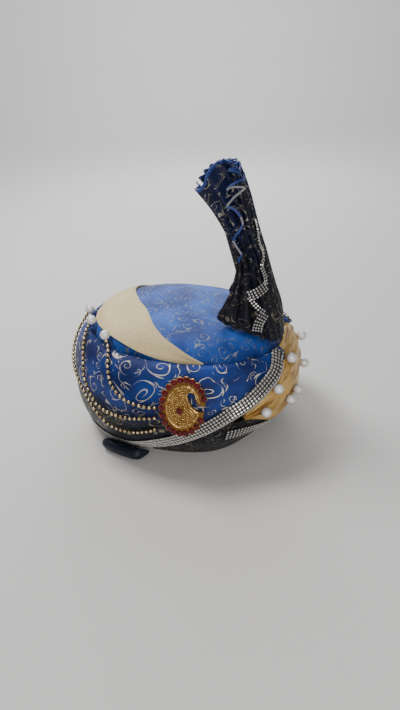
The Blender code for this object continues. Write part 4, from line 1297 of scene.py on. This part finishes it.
bm = bmesh.new()
edge_share = (BROOCH_HALF[0] + BROOCH_LIP) / BROOCH_HALF[0]
turns = [2 * math.pi * i / 96 for i in range(96)]
rings = [[bm.verts.new(brooch_oval(t, edge_share * size) + Vector((0, 0, z))) for t in turns]
         for size, z in ((0.985, 0.0), (1.0, 0.0003), (1.0, BROOCH_PLATE - 0.0005), (0.98, BROOCH_PLATE))]
for low, high in zip(rings, rings[1:]):
    for i in range(len(turns)):
        j = (i + 1) % len(turns)
        bm.faces.new((low[i], low[j], high[j], high[i]))
bm.faces.new(rings[0][::-1])
bm.faces.new(rings[-1])
blank = loose_object(bm, "plate_blank")

bm = bmesh.new()
smooth_path = [Vector((*spline(SLOT_PATH, s), 0)) for s in spread(0.0, 1.0, 16)]
left, right = [], []
for i, point in enumerate(smooth_path):
    run = smooth_path[min(i + 1, 16)] - smooth_path[max(i - 1, 0)]
    side = Vector((-run.y, run.x, 0)).normalized() * SLOT_WIDTH / 2
    left.append(point + side)
    right.append(point - side)
tip = smooth_path[-1]
outline = left + [tip + (left[-1] - tip) * math.cos(t) + (smooth_path[-1] - smooth_path[-2]).normalized()
                  * math.sin(t) * SLOT_WIDTH / 2 for t in spread(0.0, math.pi, 8)[1:-1]] + right[::-1]
levels = [[bm.verts.new(p + Vector((0, 0, z))) for p in outline] for z in (-0.01, 0.01)]
for i in range(len(outline)):
    j = (i + 1) % len(outline)
    bm.faces.new((levels[0][i], levels[0][j], levels[1][j], levels[1][i]))
bm.faces.new(levels[0][::-1])
bm.faces.new(levels[1])
hook = loose_object(bm, "hook_cutter")

cut = blank.modifiers.new("hook", "BOOLEAN")
cut.operation = "DIFFERENCE"
cut.object = hook
bpy.context.view_layer.update()
graph = bpy.context.evaluated_depsgraph_get()
mesh = bpy.data.meshes.new_from_object(blank.evaluated_get(graph))
for helper in (blank, hook):
    bpy.data.objects.remove(helper, do_unlink=True)
mesh.name = "brooch_plate"
mesh.transform(brooch_frame)
# the plate takes the gilt painted dark as a painted shade
plate = new_piece("brooch_plate", mesh, shaded_gilt)
bevel = plate.modifiers.new("soft_edges", "BEVEL")
bevel.width, bevel.segments, bevel.limit_method = 0.0003, 2, "ANGLE"
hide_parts("paisley_brooch")
print("plate:", len(plate.data.polygons), "faces after piercing")

# %% Wire round the gold drop
WIRE_SIZE, WIRE_RADIUS, WIRE_CLEAR = 0.78, 0.0008, 0.0012


def hook_side(side):
    """One side of the pierced hook, from the brooch's edge to the hook's inner end."""
    line = []
    for i, point in enumerate(smooth_path):
        run = smooth_path[min(i + 1, 16)] - smooth_path[max(i - 1, 0)]
        line.append(point + Vector((-run.y, run.x, 0)).normalized() * side * (SLOT_WIDTH / 2 + WIRE_CLEAR))
    return line


def oval_turn(point):
    """The angle and the size of the tilted oval that a point lies on."""
    tilt = math.radians(BROOCH_TILT)
    x = (point.x * math.cos(tilt) - point.y * math.sin(tilt)) / BROOCH_HALF[0]
    y = (point.x * math.sin(tilt) + point.y * math.cos(tilt)) / BROOCH_HALF[1]
    return math.atan2(y, x), math.hypot(x, y)


above, below = (  # the parts of the hook's sides that lie inside the wire's oval
    [p for p in hook_side(side) if oval_turn(p)[1] < WIRE_SIZE] for side in (-1.0, 1.0))
if above[0].y < below[0].y:
    above, below = below, above
end = above[-1].lerp(below[-1], 0.5)
cap = [end + (above[-1] - end) * math.cos(t) + (smooth_path[-1] - smooth_path[-2]).normalized() * math.sin(t)
       * (above[-1] - end).length for t in spread(0.0, math.pi, 8)[1:-1]]
start_turn, end_turn = oval_turn(below[0])[0], oval_turn(above[0])[0]
round_wire = [brooch_oval(t, WIRE_SIZE) for t in spread(start_turn, end_turn - 2 * math.pi, 72)]
loop = [p + Vector((0, 0, BROOCH_PLATE + 0.0003)) for p in round_wire + above + cap + below[::-1]]
bm = bmesh.new()
rings = []
for i, point in enumerate(loop):
    run = (loop[(i + 1) % len(loop)] - loop[i - 1]).normalized()
    side = Vector((-run.y, run.x, 0))
    rings.append([bm.verts.new(point + (side * math.cos(t) + Vector((0, 0, 1)) * math.sin(t)) * WIRE_RADIUS)
                  for t in (2 * math.pi * k / 10 for k in range(10))])
for i, ring in enumerate(rings):
    for k in range(10):
        bm.faces.new((ring[k], ring[(k + 1) % 10], rings[i - 1][(k + 1) % 10], rings[i - 1][k]))
wire_piece = new_piece("drop_wire", set_on_cap(bm, "drop_wire", True), gilt)
print("wire round the drop:", round(running_lengths(loop)[-1] * 1000), "mm")

# %% Cups, stones and gold grains
def turned(bm, centre, profile, sides):
    """A round piece from (radius, height) pairs, closed at both ends."""
    rings = [[bm.verts.new(centre + Vector((r * math.cos(t), r * math.sin(t), z)))
              for t in (2 * math.pi * i / sides for i in range(sides))] for r, z in profile]
    for low, high in zip(rings, rings[1:]):
        for i in range(sides):
            j = (i + 1) % sides
            bm.faces.new((low[i], low[j], high[j], high[i]))
    bm.faces.new(rings[0][::-1])
    bm.faces.new(rings[-1])


CLAW_RADIUS = 0.0004
CUP_PROFILE = [(1.02, -0.0016), (1.08, 0.0002), (1.05, 0.0008), (0.88, 0.0008), (0.84, 0.0004)]
GEM_PROFILE = [(0.74, 0.0002), (1.03, 0.0010), (1.00, 0.0014), (0.80, 0.0022), (0.55, 0.0027)]
cups, stones, grains = bmesh.new(), bmesh.new(), bmesh.new()
spots = [stone_spot(number) for number in range(STONE_COUNT)] + [Vector((*CENTRE_STONE, 0.0))]
for spot in spots:
    base = spot + Vector((0, 0, BROOCH_PLATE))
    turned(cups, base, [(STONE_RADIUS * share, height) for share, height in CUP_PROFILE], 20)
    turned(stones, base, [(STONE_RADIUS * share, height) for share, height in GEM_PROFILE], 12)
    for claw in range(4):
        turn = math.radians(45 + 90 * claw)
        beside = Vector((math.cos(turn), math.sin(turn), 0.0)) * STONE_RADIUS * 1.02
        bmesh.ops.create_icosphere(cups, subdivisions=1, radius=CLAW_RADIUS,
                                   matrix=Matrix.Translation(base + beside + Vector((0, 0, 0.0014))))

GRAIN_RADIUS, GRAIN_PITCH = 0.00105, 0.0023
dice = random.Random(7)
grain_count = 0
mean_radius = math.sqrt((BROOCH_HALF[0] ** 2 + BROOCH_HALF[1] ** 2) / 2)
for ring in range(12):
    size = 0.72 - ring * 0.088
    if size < 0.05:
        break
    around = int(2 * math.pi * mean_radius * size / GRAIN_PITCH)
    for i in range(around):
        spot = brooch_oval(2 * math.pi * (i + 0.5 * (ring % 2)) / around, size)
        clear_of_hook = slot_distance(spot) > SLOT_WIDTH / 2 + GRAIN_RADIUS * 2.0
        keep_off = STONE_RADIUS * 1.08 + GRAIN_RADIUS * 0.6
        clear_of_stones = all((spot - other).length > keep_off for other in spots)
        if clear_of_hook and clear_of_stones:
            lift = Vector((dice.uniform(-0.1, 0.1), dice.uniform(-0.1, 0.1), 0.0)) * GRAIN_RADIUS
            bmesh.ops.create_icosphere(grains, subdivisions=2, radius=GRAIN_RADIUS * dice.uniform(0.85, 1.1),
                                       matrix=Matrix.Translation(spot + lift + Vector((0, 0, BROOCH_PLATE))))
            grain_count += 1
cup_piece = new_piece("stone_cups", set_on_cap(cups, "stone_cups"), gilt)
stone_piece = new_piece("red_stones", set_on_cap(stones, "red_stones"), garnet)
grain_piece = new_piece("gold_grains", set_on_cap(grains, "gold_grains", True), gilt)
print(len(spots), "stones and", grain_count, "grains")

# %% [markdown]
# The last cell sets the cap on a plain pale floor, which curves up far away on all sides
# so that no horizon shows, lights it softly and points the camera. The photograph was
# taken from the wearer's right, a little above the cap and close to it, with the main
# light from above and behind.

# %% Floor, light and camera
pale_floor, shader = new_finish("pale_floor", (0.62, 0.61, 0.60), 0.85)
FLOOR_RINGS = [
    # radius, height
    (0.01, 0.0), (1.6, 0.0), (1.9, 0.03), (2.2, 0.12), (2.5, 0.30), (2.7, 0.55), (2.8, 0.95), (2.8, 2.4),
]
bm = bmesh.new()
rings = [[bm.verts.new((radius * math.cos(turn), radius * math.sin(turn), height))
          for turn in spread(0.0, 2 * math.pi, 96)[:-1]] for radius, height in FLOOR_RINGS]
for low, high in zip(rings, rings[1:]):
    for i in range(len(low)):
        bm.faces.new((low[i - 1], high[i - 1], high[i], low[i]))
bm.faces.new(rings[0])
bmesh.ops.recalc_face_normals(bm, faces=bm.faces)
floor_mesh = bpy.data.meshes.new("floor")
bm.to_mesh(floor_mesh)
bm.free()
floor_mesh.shade_smooth()
floor_mesh.materials.append(pale_floor)
floor_piece = bpy.data.objects.new("floor", floor_mesh)
bpy.context.scene.collection.objects.link(floor_piece)
floor_piece.location.z = -0.0005

world = bpy.data.worlds.new("soft_room")
world.use_nodes = True
world.node_tree.nodes["Background"].inputs["Color"].default_value = (0.80, 0.84, 0.90, 1.0)
world.node_tree.nodes["Background"].inputs["Strength"].default_value = 0.32
bpy.context.scene.world = world


def soft_light(name, forward, right, up, size, power, colour=(1.0, 1.0, 1.0), aim=(0.0, 0.0, 0.12)):
    """A square light that faces the cap, or aim; its place is given from the cap's own middle."""
    lamp = bpy.data.lights.new(name, "AREA")
    lamp.size, lamp.energy, lamp.color = size, power, colour
    piece = bpy.data.objects.new(name, lamp)
    bpy.context.scene.collection.objects.link(piece)
    piece.location = Vector((-right, -forward, up))
    piece.rotation_euler = (Vector(aim) - piece.location).to_track_quat("-Z", "Y").to_euler()
    return piece


soft_light("window", -0.25, -1.25, 0.95, 0.8, 10.0, (0.93, 0.97, 1.0))
soft_light("ceiling", -0.6, -0.25, 1.35, 0.5, 20.0, (1.0, 0.99, 0.97))
soft_light("room", 0.5, 1.2, 0.7, 0.7, 9.0, (1.0, 0.96, 0.92))
soft_light("far_floor", -0.45, -1.7, 1.5, 1.2, 26.0, aim=(2.6, 0.7, 0.2))

CAMERA_TARGET = Vector((0.0044, -0.0111, 0.080))
CAMERA_AZIMUTH, CAMERA_ELEVATION, CAMERA_DISTANCE, CAMERA_ROLL = 15.0, 31.0, 0.65, -3.5
IMAGE_HEIGHT, FOCAL_IN_PIXELS, SENSOR = 710, 533.0, 36.0
azimuth, elevation = math.radians(CAMERA_AZIMUTH), math.radians(CAMERA_ELEVATION)
backwards = Vector((-math.cos(azimuth) * math.cos(elevation), -math.sin(azimuth) * math.cos(elevation),
                    math.sin(elevation)))
camera_data = bpy.data.cameras.new("camera")
camera_data.sensor_width = SENSOR
camera_data.lens = FOCAL_IN_PIXELS / IMAGE_HEIGHT * SENSOR
camera = bpy.data.objects.new("camera", camera_data)
bpy.context.scene.collection.objects.link(camera)
right_hand = (-backwards).cross(Vector((0, 0, 1))).normalized()
upright = right_hand.cross(-backwards)
roll = math.radians(CAMERA_ROLL)
turned_right = right_hand * math.cos(roll) + upright * math.sin(roll)
turned_up = upright * math.cos(roll) - right_hand * math.sin(roll)
camera.matrix_world = Matrix.Translation(CAMERA_TARGET + backwards * CAMERA_DISTANCE) @ Matrix(
    (turned_right, turned_up, backwards)).transposed().to_4x4()
bpy.context.scene.camera = camera
print("camera stands", round(CAMERA_DISTANCE * 1000), "mm away, lens", round(camera_data.lens, 2), "mm")

widest = max(running_lengths([column[j] for column in plume_grid])[-1] for j in range(0, plume_steps + 1, 5))
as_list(fan_trims)
